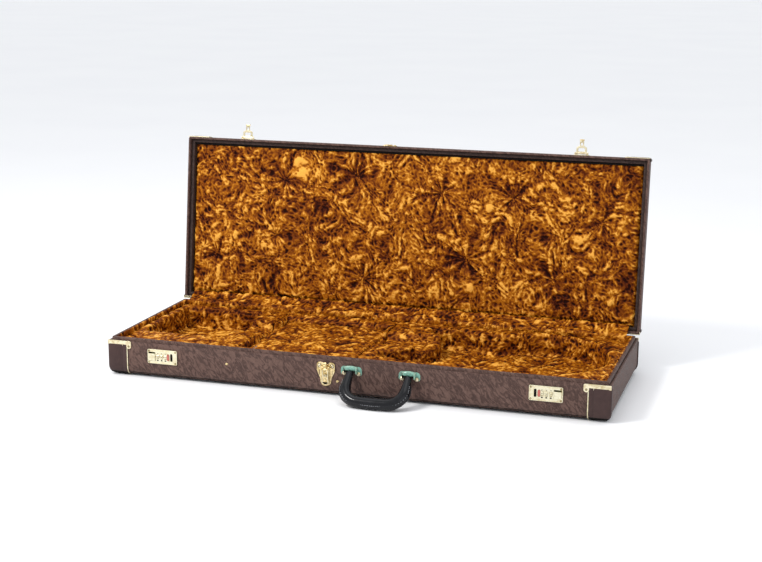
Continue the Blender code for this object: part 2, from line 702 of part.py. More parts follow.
# ---- centre latch ------------------------------------------------------------------------------
def make_latch():
    """A key latch: shield plate, lever with its key barrel, hook, and the catch on the lid."""
    back = FRONT - GAP
    shield = [
        (LATCH_X - 0.0185, LATCH_TOP_Z, 0.0060),
        (LATCH_X + 0.0185, LATCH_TOP_Z, 0.0060),
        (LATCH_X + 0.0180, LATCH_TOP_Z - 0.0165, 0.0050),
        (LATCH_X + 0.0110, LATCH_BASE_Z + 0.0090, 0.0200),
        (LATCH_X + 0.0100, LATCH_BASE_Z, 0.0070),
        (LATCH_X - 0.0100, LATCH_BASE_Z, 0.0070),
        (LATCH_X - 0.0110, LATCH_BASE_Z + 0.0090, 0.0200),
        (LATCH_X - 0.0180, LATCH_TOP_Z - 0.0165, 0.0050),
    ]
    plate = shifted(flat_plate("latch_plate", rounded_outline(shield), 0.0013), (0, back, 0))
    place(smooth(plate), FRAME, BRASS)
    front = back - 0.0013
    pieces = []
    for end in (-1, 1):
        rivet = (LATCH_X + end * 0.0125, front, LATCH_TOP_Z - 0.0065)
        pieces.append(dome(f"latch_rivet_{end + 1}", rivet, (0, -1, 0), 0.0032, 0.0012))
        low = (LATCH_X + end * 0.0086 - 0.0009, LEVER_PIVOT_Y - 0.0019, LEVER_PIVOT_Z - 0.0024)
        high = (LATCH_X + end * 0.0086 + 0.0009, front + 0.0005, LEVER_PIVOT_Z + 0.0024)
        pieces.append(box(f"latch_ear_{end + 1}", low, high))
    hinge_spot = (LATCH_X, LEVER_PIVOT_Y, LEVER_PIVOT_Z)
    pieces.append(rod("latch_pin", hinge_spot, (1, 0, 0), 0.0010, 0.0180, 12))
    join(plate, FRAME, pieces)

    axis = pivot("latch_lever_axis", hinge_spot, FRAME)
    outline = [
        (LATCH_X - 0.0070, LEVER_PIVOT_Z, 0.0010),
        (LATCH_X + 0.0070, LEVER_PIVOT_Z, 0.0010),
        (LATCH_X + 0.0060, LATCH_BASE_Z + 0.0060, 0.0100),
        (LATCH_X + 0.0075, LATCH_BASE_Z + 0.0012, 0.0040),
        (LATCH_X - 0.0075, LATCH_BASE_Z + 0.0012, 0.0040),
        (LATCH_X - 0.0060, LATCH_BASE_Z + 0.0060, 0.0100),
    ]
    lever = flat_plate("latch_lever", rounded_outline(outline), 0.0024)
    shifted(lever, (0, LEVER_PIVOT_Y + 0.0012, 0))
    place(smooth(lever), axis, BRASS)
    pieces = [rod("lever_barrel", hinge_spot, (1, 0, 0), 0.0022, 0.0148, 12)]
    for end in (-1, 1):
        low = (LATCH_X + end * 0.0058 - 0.0009, BAIL_PIVOT_Y - 0.0015, BAIL_PIVOT_Z - 0.0015)
        high = (LATCH_X + end * 0.0058 + 0.0009, LEVER_PIVOT_Y, BAIL_PIVOT_Z + 0.0015)
        pieces.append(box(f"lever_ear_{end + 1}", low, high))
    bail_spot = (LATCH_X, BAIL_PIVOT_Y, BAIL_PIVOT_Z)
    pieces.append(rod("bail_pin", bail_spot, (1, 0, 0), 0.0007, 0.0120, 12))
    join(lever, axis, pieces)
    barrel_spot = (LATCH_X, LEVER_PIVOT_Y, BARREL_Z)
    cut(
        lever,
        axis,
        [
            rod("lever_bore", hinge_spot, (1, 0, 0), 0.0012, 0.020, 12),
            rod("barrel_bore", barrel_spot, (0, 1, 0), 0.0036, 0.008, 16),
        ],
    )
    turn = pivot("key_barrel_axis", barrel_spot, axis)
    barrel = rod("key_barrel", barrel_spot, (0, 1, 0), 0.0033, 0.0034, 16)
    place(smooth(barrel, 30), turn, BRASS)
    keyway_low = (LATCH_X - 0.0005, LEVER_PIVOT_Y - 0.003, BARREL_Z - 0.0020)
    keyway_high = (LATCH_X + 0.0005, LEVER_PIVOT_Y - 0.0005, BARREL_Z + 0.0020)
    cut(barrel, turn, [box("keyway", keyway_low, keyway_high)])

    swing = pivot("latch_hook_axis", bail_spot, axis)
    hook_top = LATCH_TOP_Z + 0.0002
    hook = box(
        "latch_hook",
        (LATCH_X - 0.0042, BAIL_PIVOT_Y - 0.0008, BAIL_PIVOT_Z),
        (LATCH_X + 0.0042, BAIL_PIVOT_Y + 0.0008, hook_top),
    )
    place(smooth(hook), swing, BRASS)
    pieces = [
        rod("hook_barrel", bail_spot, (1, 0, 0), 0.0016, 0.0086, 12),
        rod("hook_curl", (LATCH_X, BAIL_PIVOT_Y - 0.0007, hook_top), (1, 0, 0), 0.0018, 0.0080, 12),
    ]
    join(hook, swing, pieces)
    cut(hook, swing, [rod("hook_bore", bail_spot, (1, 0, 0), 0.0009, 0.010, 12)])

    catch = box(
        "lid_catch",
        (LATCH_X - 0.0150, back - 0.0012, LID_RIM + 0.0010),
        (LATCH_X + 0.0150, back, LID_RIM + 0.0095),
        bevel=0.0005,
        segments=1,
    )
    place(smooth(catch), LID, BRASS)
    pieces = [
        box(
            "catch_tongue",
            (LATCH_X - 0.0055, back - 0.0034, RIM - 0.0070),
            (LATCH_X + 0.0055, back - 0.0022, LID_RIM + 0.0075),
        ),
        box(
            "catch_root",
            (LATCH_X - 0.0055, back - 0.0030, LID_RIM + 0.0045),
            (LATCH_X + 0.0055, back - 0.0008, LID_RIM + 0.0075),
        ),
    ]
    for end in (-1, 1):
        spot = (LATCH_X + end * 0.0105, back - 0.0012, LID_RIM + 0.0052)
        pieces.append(dome(f"catch_rivet_{end + 1}", spot, (0, -1, 0), 0.0030, 0.0016))
    join(catch, LID, pieces)


# ---- carrying handle ---------------------------------------------------------------------------
def handle_path():
    """(x, drop) points of the handle's middle line, from one pivot round to the other."""
    half = HANDLE_SPREAD / 2
    bulge = 0.001  # the grip is a little wider than its ends
    bend = 0.032
    right = [Vector((half, 0)), Vector((half + 0.3 * bulge, 0.011)), Vector((half + 0.8 * bulge, 0.023))]
    centre = Vector((half + bulge - bend, HANDLE_DROP - bend))
    steps = 7
    for step in range(steps + 1):
        angle = math.pi / 2 * step / steps
        right.append(centre + bend * Vector((math.cos(angle), math.sin(angle))))
    left = [Vector((-p.x, p.y)) for p in reversed(right)]
    return right + [Vector((0, HANDLE_DROP))] + left


def make_handle():
    """The leather grip on its two end pins, and the painted bracket over each end."""
    spot = (HANDLE_X, HANDLE_PIVOT_Y, HANDLE_PIVOT_Z)
    axis = pivot("handle_axis", spot, FRAME)
    axis.rotation_euler.x = -HANDLE_TILT
    curve = bpy.data.curves.new("handle_path", "CURVE")
    curve.dimensions = "3D"
    curve.bevel_depth = GRIP_RADIUS
    curve.bevel_resolution = 2
    curve.use_fill_caps = True
    spline = curve.splines.new("POLY")
    path = handle_path()
    spline.points.add(len(path) - 1)
    for point, (x, drop) in zip(spline.points, path):
        point.co = (x, 0, -drop, 1)
        grown = min(1.0, drop / 0.045)
        point.radius = (HANDLE_END_RADIUS + (GRIP_RADIUS - HANDLE_END_RADIUS) * grown) / GRIP_RADIUS
    grip = meshed("handle_grip", curve, Matrix.Translation(spot))
    place(smooth(grip, 60), axis, HANDLE_LEATHER)
    half = HANDLE_SPREAD / 2
    for side, sign in SIDES.items():
        end = (HANDLE_X + sign * half, *spot[1:])
        join(grip, axis, [rod(f"handle_end_pin_{side}", end, (1, 0, 0), 0.0020, 0.0230, 12)])
        make_bracket(side, end)


def make_bracket(side, end):
    back = FRONT - GAP
    x, y, z = end
    tag = f"bracket_{side}"
    bracket = box(
        f"handle_bracket_{side}",
        (x - 0.0215, back - 0.0015, z - 0.0095),
        (x + 0.0215, back, z + 0.0085),
        bevel=0.0007,
        segments=1,
    )
    place(bracket, FRAME, VERDIGRIS)
    hood = box(
        tag + "_hood",
        (x - 0.0133, y - 0.0030, z + 0.0062),
        (x + 0.0133, back - 0.0008, z + 0.0079),
    )
    pieces = [hood]
    for end_sign in (-1, 1):
        inner = x + end_sign * 0.0102
        outer = x + end_sign * 0.0133
        low_x, high_x = sorted((inner, outer))
        cheek_low = (low_x, y - 0.0042, z - 0.0060)
        cheek_high = (high_x, back - 0.0006, z + 0.0070)
        pieces.append(box(f"{tag}_cheek_{end_sign + 1}", cheek_low, cheek_high))
        rivet = (x + end_sign * 0.0174, back - 0.0015, z - 0.0020)
        pieces.append(dome(f"{tag}_rivet_{end_sign + 1}", rivet, (0, -1, 0), 0.0032, 0.0018))
    join(bracket, FRAME, pieces)
    cut(bracket, FRAME, [rod(tag + "_bore", end, (1, 0, 0), 0.0023, 0.040, 12)])


# ---- padding -----------------------------------------------------------------------------------
def body_cavity():
    """The cutter for the guitar's body: a closed smooth outline through its extreme points."""
    outline = [
        (0.034, -0.100),
        (0.105, -0.128),
        (0.205, -0.116),
        (0.345, -0.146),
        (0.455, -0.095),
        (0.480, 0.010),
        (0.430, 0.118),
        (0.335, 0.150),
        (0.225, 0.118),
        (0.145, 0.132),
        (0.088, 0.118),
        (0.122, 0.066),
        (0.110, 0.010),
        (0.082, -0.045),
    ]
    curve = bpy.data.curves.new("body_cavity", "CURVE")
    curve.dimensions = "2D"
    curve.fill_mode = "BOTH"
    curve.resolution_u = 4
    curve.extrude = 0.030
    spline = curve.splines.new("BEZIER")
    spline.bezier_points.add(len(outline) - 1)
    for point, (x, y) in zip(spline.bezier_points, outline):
        point.co = (x, y, 0)
        point.handle_left_type = "AUTO"
        point.handle_right_type = "AUTO"
    spline.use_cyclic_u = True
    return meshed("body_cavity", curve, Matrix.Translation((0, 0, WELL_FLOOR + 0.030)))


def neck_channel(tag):
    """The straight way that the neck takes over the padding, from the body to the head."""
    low = (-0.310, -0.026, FLAP_TOP - 0.0055)
    high = (0.140, 0.068, 0.100)
    return box("neck_channel_" + tag, low, high)


def make_padding():
    half_x = LENGTH / 2 - PAD_INSET
    half_y = WIDTH / 2 - PAD_INSET
    spare = lock_cutters("padding", LOCK_DEPTH + 0.0010)
    body = box("body_padding", (BOX_RIGHT + GAP, -half_y, LINING_FLOOR), (half_x, half_y, PAD_TOP))
    place(body, FRAME, PLUSH)
    cut(body, FRAME, [body_cavity(), neck_channel("body"), spare[1]])

    head = box("head_padding", (-half_x, -half_y, LINING_FLOOR), (BOX_LEFT - GAP, half_y, PAD_TOP))
    place(head, FRAME, PLUSH)
    well = box("head_well", (-0.480, -0.088, WELL_FLOOR), (-0.300, 0.138, 0.100))
    cut(head, FRAME, [well, neck_channel("head"), spare[0]])

    store = box(
        "accessory_box",
        (BOX_LEFT, -half_y, LINING_FLOOR),
        (BOX_RIGHT, half_y, PAD_TOP),
    )
    place(store, FRAME, PLUSH)
    deep = FLAP_HALF_DEPTH + 0.0005
    ledge = 0.0080
    seat = FLAP_TOP - FLAP_THICKNESS - GAP
    recess = box(
        "flap_recess",
        (FLAP_LEFT - 0.0005, -deep, seat),
        (FLAP_RIGHT + 0.0005, deep, 0.100),
    )
    hollow = box(
        "accessory_hollow",
        (FLAP_LEFT + ledge, -deep + ledge, LINING_FLOOR + 0.0035),
        (FLAP_RIGHT - ledge, deep - ledge, seat + 0.001),
    )
    cut(store, FRAME, [recess, hollow, neck_channel("box")])

    spot = ((FLAP_LEFT + FLAP_RIGHT) / 2, FLAP_HALF_DEPTH, FLAP_TOP)
    axis = pivot("accessory_lid_axis", spot, FRAME)
    flap = box(
        "accessory_lid",
        (FLAP_LEFT, -FLAP_HALF_DEPTH, FLAP_TOP - FLAP_THICKNESS),
        (FLAP_RIGHT, FLAP_HALF_DEPTH, FLAP_TOP),
    )
    place(flap, axis, PLUSH)
    tab = box(
        "pull_tab",
        (-0.2290, -0.1280, FLAP_TOP + GAP),
        (-0.2150, -0.0680, FLAP_TOP + 0.0025),
        bevel=0.0006,
        segments=1,
    )
    place(tab, axis, TAB_LEATHER)


def make_hinge_lining():
    """The plush strip that hides the hinge line: its tray half and its lid half."""
    half_x = 0.490
    y_high = REAR - TONGUE_INSET - TONGUE_THICKNESS - GAP
    low = (-half_x, y_high - 0.0016, PAD_TOP + GAP)
    high = (half_x, y_high, RIM + TONGUE_RISE)
    place(box("hinge_lining_tray", low, high), FRAME, PLUSH)
    y_high = REAR - LID_FRAME_INSET - LID_FRAME_THICKNESS - GAP
    low = (-half_x, y_high - 0.0016, LID_RIM + LID_FRAME_RECESS)
    high = (half_x, y_high, LID_RIM + LID_PAD_RECESS - GAP)
    place(box("hinge_lining_lid", low, high), LID, PLUSH)


# ---- the whole case ----------------------------------------------------------------------------
make_tray()
make_lid()
for part_name, body_empty in (("tray", FRAME), ("lid", LID)):
    for x_name in SIDES:
        for y_name in ENDS:
            make_patch(part_name, body_empty, x_name, y_name)
            make_trim(part_name, body_empty, x_name, y_name)
for hinge_name, hinge_x in HINGE_PLACES.items():
    make_hinge(hinge_name, hinge_x)
for lock_side in SIDES:
    make_lock(lock_side)
    make_hasp(lock_side)
make_latch()
make_handle()
make_padding()
make_hinge_lining()
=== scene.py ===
"""The looks of a hard guitar case that lies on its base with its lid open, on a pale floor.

Metres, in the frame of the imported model: X runs along the case, -Y is its front, z = 0 is the floor.
Pieces of the lid are drawn with the lid shut and then turned about the hinge to its open place."""

import json
import math

import bmesh
import bpy
import numpy as np
from mathutils import Matrix, Vector, noise

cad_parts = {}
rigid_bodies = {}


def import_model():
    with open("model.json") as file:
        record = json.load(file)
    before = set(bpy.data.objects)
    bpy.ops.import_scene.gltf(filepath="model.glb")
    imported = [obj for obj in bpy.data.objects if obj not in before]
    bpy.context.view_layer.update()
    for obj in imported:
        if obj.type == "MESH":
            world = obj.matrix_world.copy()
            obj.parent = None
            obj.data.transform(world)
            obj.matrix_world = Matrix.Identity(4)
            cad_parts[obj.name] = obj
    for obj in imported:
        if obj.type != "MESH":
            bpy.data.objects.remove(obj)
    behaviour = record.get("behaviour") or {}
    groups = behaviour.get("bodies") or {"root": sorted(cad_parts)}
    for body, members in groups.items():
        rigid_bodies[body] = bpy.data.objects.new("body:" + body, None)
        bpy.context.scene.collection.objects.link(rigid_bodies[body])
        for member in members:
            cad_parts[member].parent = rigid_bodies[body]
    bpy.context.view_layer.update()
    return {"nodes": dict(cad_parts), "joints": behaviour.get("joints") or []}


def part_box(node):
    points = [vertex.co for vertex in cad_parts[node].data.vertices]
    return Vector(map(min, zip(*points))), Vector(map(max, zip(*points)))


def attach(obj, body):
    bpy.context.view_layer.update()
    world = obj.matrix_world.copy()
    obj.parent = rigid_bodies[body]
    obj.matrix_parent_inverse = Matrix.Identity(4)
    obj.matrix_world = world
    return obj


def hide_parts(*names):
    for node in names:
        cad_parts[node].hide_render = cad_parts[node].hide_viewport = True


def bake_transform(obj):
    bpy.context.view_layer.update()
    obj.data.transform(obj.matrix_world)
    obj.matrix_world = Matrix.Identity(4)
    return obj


for leftover in list(bpy.data.objects):
    bpy.data.objects.remove(leftover)
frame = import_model()
JOINTS = {joint["name"]: joint for joint in frame["joints"]}

# ---- places read from the frame ------------------------------------------------------------------
SHELL_LOW, SHELL_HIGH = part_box("tray_shell")
HALF_X = SHELL_HIGH.x
HALF_Y = (SHELL_HIGH.y - SHELL_LOW.y) / 2
MID_Y = (SHELL_HIGH.y + SHELL_LOW.y) / 2
FRONT = SHELL_LOW.y
REAR = SHELL_HIGH.y
BASE = SHELL_LOW.z
RIM = SHELL_HIGH.z
HINGE = Vector(JOINTS["lid_hinge"]["pos_m"])
OPEN_ANGLE = math.radians(JOINTS["lid_hinge"]["range_deg"][1])
LID_RIM = 2 * HINGE.z - RIM
LID_DEPTH = 0.0430
LID_TOP = LID_RIM + LID_DEPTH
PADDING_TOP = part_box("body_padding")[1].z
SIDES = {"left": -1, "right": 1}
ENDS = {"front": -1, "rear": 1}
BOTH = (-1, 1)
ALONG = (1, 0, 0)
TO_FRONT = (0, -1, 0)
PLATE_BACK = FRONT - 0.0003  # the back of the metal plates on the front face

WALL = 0.0045
BOTTOM_RADIUS = 0.017  # the shells' long rounded edges
CORNER_RADIUS = 0.0045  # their upright corner edges
PATCH_THICKNESS = 0.0017
PATCH_GAP = 0.0002  # keeps patches and clamps clear of the vinyl
PATCH_REACH = 0.0409
PATCH_WRAP = 0.0060  # how far a corner patch reaches round onto the end face


def open_lid():
    """The turn that takes a lid piece from shut to its open place."""
    turn = Matrix.Rotation(-OPEN_ANGLE, 4, "X")
    return Matrix.Translation(HINGE) @ turn @ Matrix.Translation(-HINGE)


LID_OPEN = open_lid()

# each half of the case: its flat face, its rim, the way up from face to rim, and its turn into place
HALVES = {"tray": (BASE, RIM, 1, None), "lid": (LID_TOP, LID_RIM, -1, LID_OPEN)}


# ---- materials -----------------------------------------------------------------------------------
class Surface:
    """A material with helpers that add and join its nodes."""

    def __init__(self, name, roughness=0.5, metallic=0.0, **constants):
        self.material = bpy.data.materials.new(name)
        self.material.use_nodes = True
        self.nodes = self.material.node_tree.nodes
        self.links = self.material.node_tree.links
        self.shader = self.nodes["Principled BSDF"]
        self.shader.inputs["Roughness"].default_value = roughness
        self.shader.inputs["Metallic"].default_value = metallic
        for socket, value in constants.items():
            self.shader.inputs[socket.replace("_", " ")].default_value = value
        self.place = self.nodes.new("ShaderNodeTexCoord").outputs["Object"]

    def add(self, kind, inputs=(), **settings):
        node = self.nodes.new("ShaderNode" + kind)
        for key, value in settings.items():
            setattr(node, key, value)
        for socket, value in dict(inputs).items():
            self.feed(node.inputs[socket], value)
        return node

    def feed(self, socket, value):
        if isinstance(value, bpy.types.NodeSocket):
            self.links.new(value, socket)
        else:
            socket.default_value = value

    def stretched(self, stretch, turn=(0, 0, 0)):
        """The object's coordinates with a grain drawn out along turned axes."""
        inputs = {"Vector": self.place, "Scale": stretch, "Rotation": turn}
        return self.add("Mapping", inputs, vector_type="TEXTURE").outputs["Vector"]

    def grain(self, scale, detail=4.0, rough=0.5, distortion=0.0, place=None):
        inputs = {
            "Vector": place or self.place,
            "Scale": scale,
            "Detail": detail,
            "Roughness": rough,
            "Distortion": distortion,
        }
        return self.add("TexNoise", inputs).outputs["Fac"]

    def cells(self, scale):
        """How far a point lies from the edges of a pattern of cells."""
        inputs = {"Vector": self.place, "Scale": scale}
        return self.add("TexVoronoi", inputs, feature="DISTANCE_TO_EDGE").outputs["Distance"]

    def attribute(self, name):
        return self.add("Attribute", attribute_name=name).outputs["Fac"]

    def math(self, operation, first, second=0.0, clamp=False):
        inputs = {0: first, 1: second}
        return self.add("Math", inputs, operation=operation, use_clamp=clamp).outputs[0]

    def creases(self, grain, sharpness):
        """0 along thin lines, 1 between them."""
        away = self.math("ABSOLUTE", self.math("SUBTRACT", grain, 0.5))
        return self.math("MULTIPLY", away, sharpness, True)

    def blend(self, *shares):
        """The sum of (value, share) pairs."""
        total = 0.0
        for value, share in shares:
            total = self.math("ADD", self.math("MULTIPLY", value, share), total)
        return total

    def ramp(self, factor, *stops):
        """Colours, or greys for single numbers, at places along 0 to 1."""
        node = self.add("ValToRGB", {"Fac": factor})
        band = node.color_ramp.elements
        while len(band) < len(stops):
            band.new(0.5)
        for element, (position, colour) in zip(band, stops):
            element.position = position
            shade = colour if isinstance(colour, tuple) else (colour,) * 3
            element.color = (*shade, 1.0)
        return node.outputs["Color"]

    def mix(self, factor, first, second):
        """Two colours mixed; a Mix node keeps its colour sockets at these numbers."""
        node = self.add("Mix", {"Factor": factor}, data_type="RGBA")
        self.feed(node.inputs[6], first)
        self.feed(node.inputs[7], second)
        return node.outputs[2]

    def bump(self, height, strength, distance, below=None):
        inputs = {"Height": height, "Strength": strength, "Distance": distance}
        if below:
            inputs["Normal"] = below
        return self.add("Bump", inputs).outputs["Normal"]

    def wear(self, narrow=0.47, wide=0.56):
        """1 on worn outer edges, from the surface's own curvature."""
        point = self.add("NewGeometry").outputs["Pointiness"]
        return self.ramp(point, (narrow, 0.0), (wide, 1.0))

    def finish(self, colour=None, roughness=None, normal=None):
        for socket, value in (("Base Color", colour), ("Roughness", roughness), ("Normal", normal)):
            if value is not None:
                self.feed(self.shader.inputs[socket], value)
        return self.material


def vinyl_material(name, dark, middle, light, grain=1.0):
    """Embossed vinyl cloth: a wrinkled grain of short slanting creases, with fine pits over it."""
    s = Surface(name, Specular_IOR_Level=0.22)
    slanted = s.stretched((1.0, 1.0, 2.8), (0.0, -0.65, 0.0))
    upright = s.stretched((1.0, 1.0, 2.0), (0.0, 0.25, 0.0))
    fibre = s.grain(260 * grain, 4, 0.62, 0.8, upright)
    mottle = s.grain(55 * grain, 3, 0.55, 0.6, slanted)
    wrinkles = s.creases(s.grain(110 * grain, 3, 0.55, 0.8, slanted), 13.0)
    pits = s.cells(900 * grain)
    tone = s.blend((fibre, 0.42), (mottle, 0.24), (wrinkles, 0.34))
    colour = s.ramp(tone, (0.32, dark), (0.56, middle), (0.72, light))
    colour = s.mix(s.math("MULTIPLY", s.wear(), 0.3), colour, (*light, 1.0))
    rough = s.ramp(tone, (0.3, 0.42), (0.7, 0.62))
    coarse = s.bump(s.blend((fibre, 0.5), (wrinkles, 0.35)), 0.85, 0.0013)
    fine = s.bump(pits, 0.25, 0.0003, coarse)
    return s.finish(colour, rough, fine)


def leather_material(name, dark, light, roughness=0.42, pebble=620, coat=0.0, relief=1.0, gloss=0.22):
    """Smooth leather with a fine pebble, soft creases and rubbed edges."""
    s = Surface(name, Coat_Weight=coat, Coat_Roughness=0.07, Specular_IOR_Level=gloss)
    pores = s.cells(pebble)
    folds = s.grain(45, 4, 0.6, 0.8)
    colour = s.ramp(folds, (0.35, dark), (0.68, light))
    colour = s.mix(s.math("MULTIPLY", s.wear(), 0.25), colour, tuple(2.2 * c for c in light) + (1.0,))
    rough = s.ramp(folds, (0.3, roughness - 0.07), (0.7, roughness + 0.1))
    normal = s.bump(pores, 0.35 * relief, 0.00025, s.bump(folds, 0.3 * relief, 0.0012))
    return s.finish(colour, rough, normal)


def brass_material(name, colour, dark, roughness=0.24):
    """Lightly worn plated brass: faint brushing, cloudy tarnish and tiny dents."""
    s = Surface(name, roughness, 1.0)
    brushed = s.grain(900, 2, 0.5, 0.0, s.stretched((12.0, 1.0, 1.0)))
    cloud = s.grain(120, 5, 0.6, 0.4)
    tint = s.ramp(cloud, (0.34, dark), (0.56, colour))
    rough = s.ramp(s.mix(0.5, cloud, brushed), (0.3, roughness + 0.14), (0.7, roughness))
    normal = s.bump(brushed, 0.06, 0.0002, s.bump(cloud, 0.12, 0.0005))
    return s.finish(tint, rough, normal)


def enamel_material(name, dark, light, roughness, coat=0.3):
    """Cloudy enamel, rubbed pale at its edges, or a dull dark finish when it has no coat; the darkest of
    these also serve as painted shade.
    """
    s = Surface(name, roughness, Coat_Weight=coat, Specular_IOR_Level=0.5 if coat else 0.1)
    cloud = s.grain(260, 4, 0.6)
    colour = s.ramp(cloud, (0.35, dark), (0.62, light))
    if coat:
        colour = s.mix(s.math("MULTIPLY", s.wear(0.5, 0.6), 0.4), colour, (0.75, 0.72, 0.5, 1.0))
    return s.finish(colour, None, s.bump(cloud, 0.12, 0.0004))


def plush_material(name):
    """Crushed velour with its light painted in: painted highlights along crests and painted shade in the
    folds, over patches of random tone.
    """
    s = Surface(name, 0.6, Sheen_Weight=0.03, Sheen_Roughness=0.4, Specular_IOR_Level=0.08)
    s.shader.inputs["Sheen Tint"].default_value = (1.0, 0.55, 0.15, 1.0)
    # the pile attribute and the crests carry painted light and shade; the ramp's top colours are painted
    # highlights
    fold = s.attribute("pile")
    ridges = s.math("SUBTRACT", 1.0, s.creases(s.grain(60, 2, 0.5, 0.5), 11.0))
    crush = s.grain(230, 4, 0.65, 0.4)
    nap = s.grain(700, 2, 0.6, 0.2)
    tone = s.blend((fold, 0.84), (ridges, 0.10), (crush, 0.30), (nap, 0.14))
    colour = s.ramp(
        tone,
        (0.43, (0.014, 0.0012, 0.0001)),
        (0.545, (0.070, 0.0095, 0.0002)),
        (0.69, (0.185, 0.0430, 0.0004)),
        (0.84, (0.410, 0.1320, 0.0040)),
        (0.99, (0.820, 0.3900, 0.0600)),
    )
    rough = s.ramp(tone, (0.4, 0.75), (0.8, 0.45))
    normal = s.bump(nap, 0.4, 0.0006, s.bump(s.blend((crush, 0.6), (ridges, 0.4)), 0.8, 0.0022))
    return s.finish(colour, rough, normal)


VINYL = vinyl_material(
    "brown_vinyl", (0.024, 0.0105, 0.0085), (0.070, 0.0365, 0.0295), (0.130, 0.0760, 0.0610)
)
# a darker copy of the brown vinyl for the lid's recessed frame: painted shade
SHADED_RIM_VINYL = vinyl_material(
    "shaded_rim_vinyl", (0.018, 0.0095, 0.0080), (0.034, 0.0190, 0.0155), (0.058, 0.0350, 0.0290), 1.6
)
PATCH = leather_material("corner_leather", (0.026, 0.0130, 0.0125), (0.044, 0.0240, 0.0215), 0.42)
HANDLE_SKIN = leather_material(
    "black_leather", (0.0022, 0.0023, 0.0032), (0.005, 0.0052, 0.0072), 0.25, 480, 0.35, 0.3, 0.1
)
TAB_SKIN = leather_material("grey_suede", (0.110, 0.070, 0.050), (0.210, 0.140, 0.100), 0.8)
BRASS = brass_material("pale_brass", (0.790, 0.710, 0.500), (0.520, 0.420, 0.230))
GOLD = brass_material("yellow_brass", (0.780, 0.620, 0.330), (0.420, 0.290, 0.100), 0.22)
SATIN = brass_material("ivory_plate", (0.790, 0.740, 0.550), (0.680, 0.610, 0.400), 0.38)
VERDIGRIS = enamel_material("green_enamel", (0.018, 0.150, 0.120), (0.085, 0.330, 0.270), 0.3)
RED = enamel_material("red_enamel", (0.330, 0.012, 0.010), (0.520, 0.028, 0.022), 0.35)
# a dull black for numerals and pins, also used as painted shade in holes, slots, rivet seats and behind
# openings
DARK_FINISH_AND_SHADE = enamel_material("dark_finish_and_painted_shade", (0.003, 0.003, 0.0025), (0.007, 0.006, 0.005), 0.7, 0.0)
OLIVE = enamel_material("olive_recess", (0.040, 0.040, 0.014), (0.080, 0.078, 0.030), 0.5, 0.0)
INK = enamel_material("index_ink", (0.230, 0.060, 0.030), (0.340, 0.110, 0.050), 0.5, 0.0)
THREAD = leather_material("thread", (0.030, 0.018, 0.015), (0.060, 0.040, 0.034), 0.7, 1500)
THREAD_PALE = leather_material("pale_thread", (0.130, 0.135, 0.150), (0.240, 0.245, 0.260), 0.5, 1500)
# black that stands for painted shade: undersides near the floor, strips inside the lid frame, the line beside
# the clamps' strips
PAINTED_SHADE_BLACK = enamel_material("painted_shade_black", (0.003, 0.0022, 0.002), (0.007, 0.005, 0.0045), 0.7, 0.0)
PLUSH = plush_material("gold_plush")


# ---- mesh helpers --------------------------------------------------------------------------------
def new_object(name, bm, *materials):
    """An object in the scene from a bmesh, which is freed."""
    mesh = bpy.data.meshes.new(name)
    bm.to_mesh(mesh)
    bm.free()
    obj = bpy.data.objects.new(name, mesh)
    bpy.context.scene.collection.objects.link(obj)
    for material in materials:
        mesh.materials.append(material)
    return obj


def evaluated(obj):
    """The object's mesh with its modifiers applied, as a bmesh; the object is removed."""
    bpy.context.view_layer.update()
    graph = bpy.context.evaluated_depsgraph_get()
    mesh = bpy.data.meshes.new_from_object(obj.evaluated_get(graph))
    bm = bmesh.new()
    bm.from_mesh(mesh)
    bm.transform(obj.matrix_world)
    bpy.data.objects.remove(obj)
    bpy.data.meshes.remove(mesh)
    return bm


def pour(bm, target):
    """Adds one mesh to another, and frees it."""
    mesh = bpy.data.meshes.new("part")
    bm.to_mesh(mesh)
    bm.free()
    target.from_mesh(mesh)
    bpy.data.meshes.remove(mesh)


def gather(name, parts, smooth_angle=35):
    """One object from (object or bmesh, material) parts, each part keeping its own material."""
    joined = bmesh.new()
    materials = []
    for part, material in parts:
        bm = evaluated(part) if isinstance(part, bpy.types.Object) else part
        if material not in materials:
            materials.append(material)
        index = materials.index(material)
        for face in bm.faces:
            face.material_index = index
        pour(bm, joined)
    obj = new_object(name, joined, *materials)
    obj.data.shade_smooth()
    obj.data.set_sharp_from_angle(angle=math.radians(smooth_angle))
    return obj


def settle(obj, body, slot, *nodes, turn=None):
    """Puts a finished piece on its body, in place of the CAD nodes that it stands for."""
    if turn is not None:
        obj.data.transform(turn)
    obj.data.update()
    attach(obj, body)
    if nodes:
        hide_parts(*nodes)


def loop_points(half_x, half_y, radius, cuts=(0, 0)):
    """A rounded rectangle round the case's middle, anticlockwise seen from above."""
    radius = max(radius, 0.0004)
    arc = 4
    bends = []
    for sx, sy, start in ((1, 1, 0.0), (-1, 1, 0.5), (-1, -1, 1.0), (1, -1, 1.5)):
        cx = sx * (half_x - radius)
        cy = MID_Y + sy * (half_y - radius)
        angles = [math.pi * (start + 0.5 * step / arc) for step in range(arc + 1)]
        bends.append([(cx + radius * math.cos(a), cy + radius * math.sin(a)) for a in angles])
    points = []
    for number, bend in enumerate(bends):
        points += bend
        ahead = bends[(number + 1) % 4][0]
        count = cuts[number % 2] + 1
        for step in range(1, count):
            points.append(tuple(a + (b - a) * step / count for a, b in zip(bend[-1], ahead)))
    return points


def ring_faces(bm, rows, caps=(True, True)):
    """Joins rings of vertices to their neighbours with faces, and closes the first and last ring."""
    count = len(rows[0])
    for low, high in zip(rows, rows[1:]):
        for i in range(count):
            j = (i + 1) % count
            bm.faces.new((low[i], low[j], high[j], high[i]))
    if caps[0]:
        bm.faces.new(list(reversed(rows[0])))
    if caps[1]:
        bm.faces.new(rows[-1])


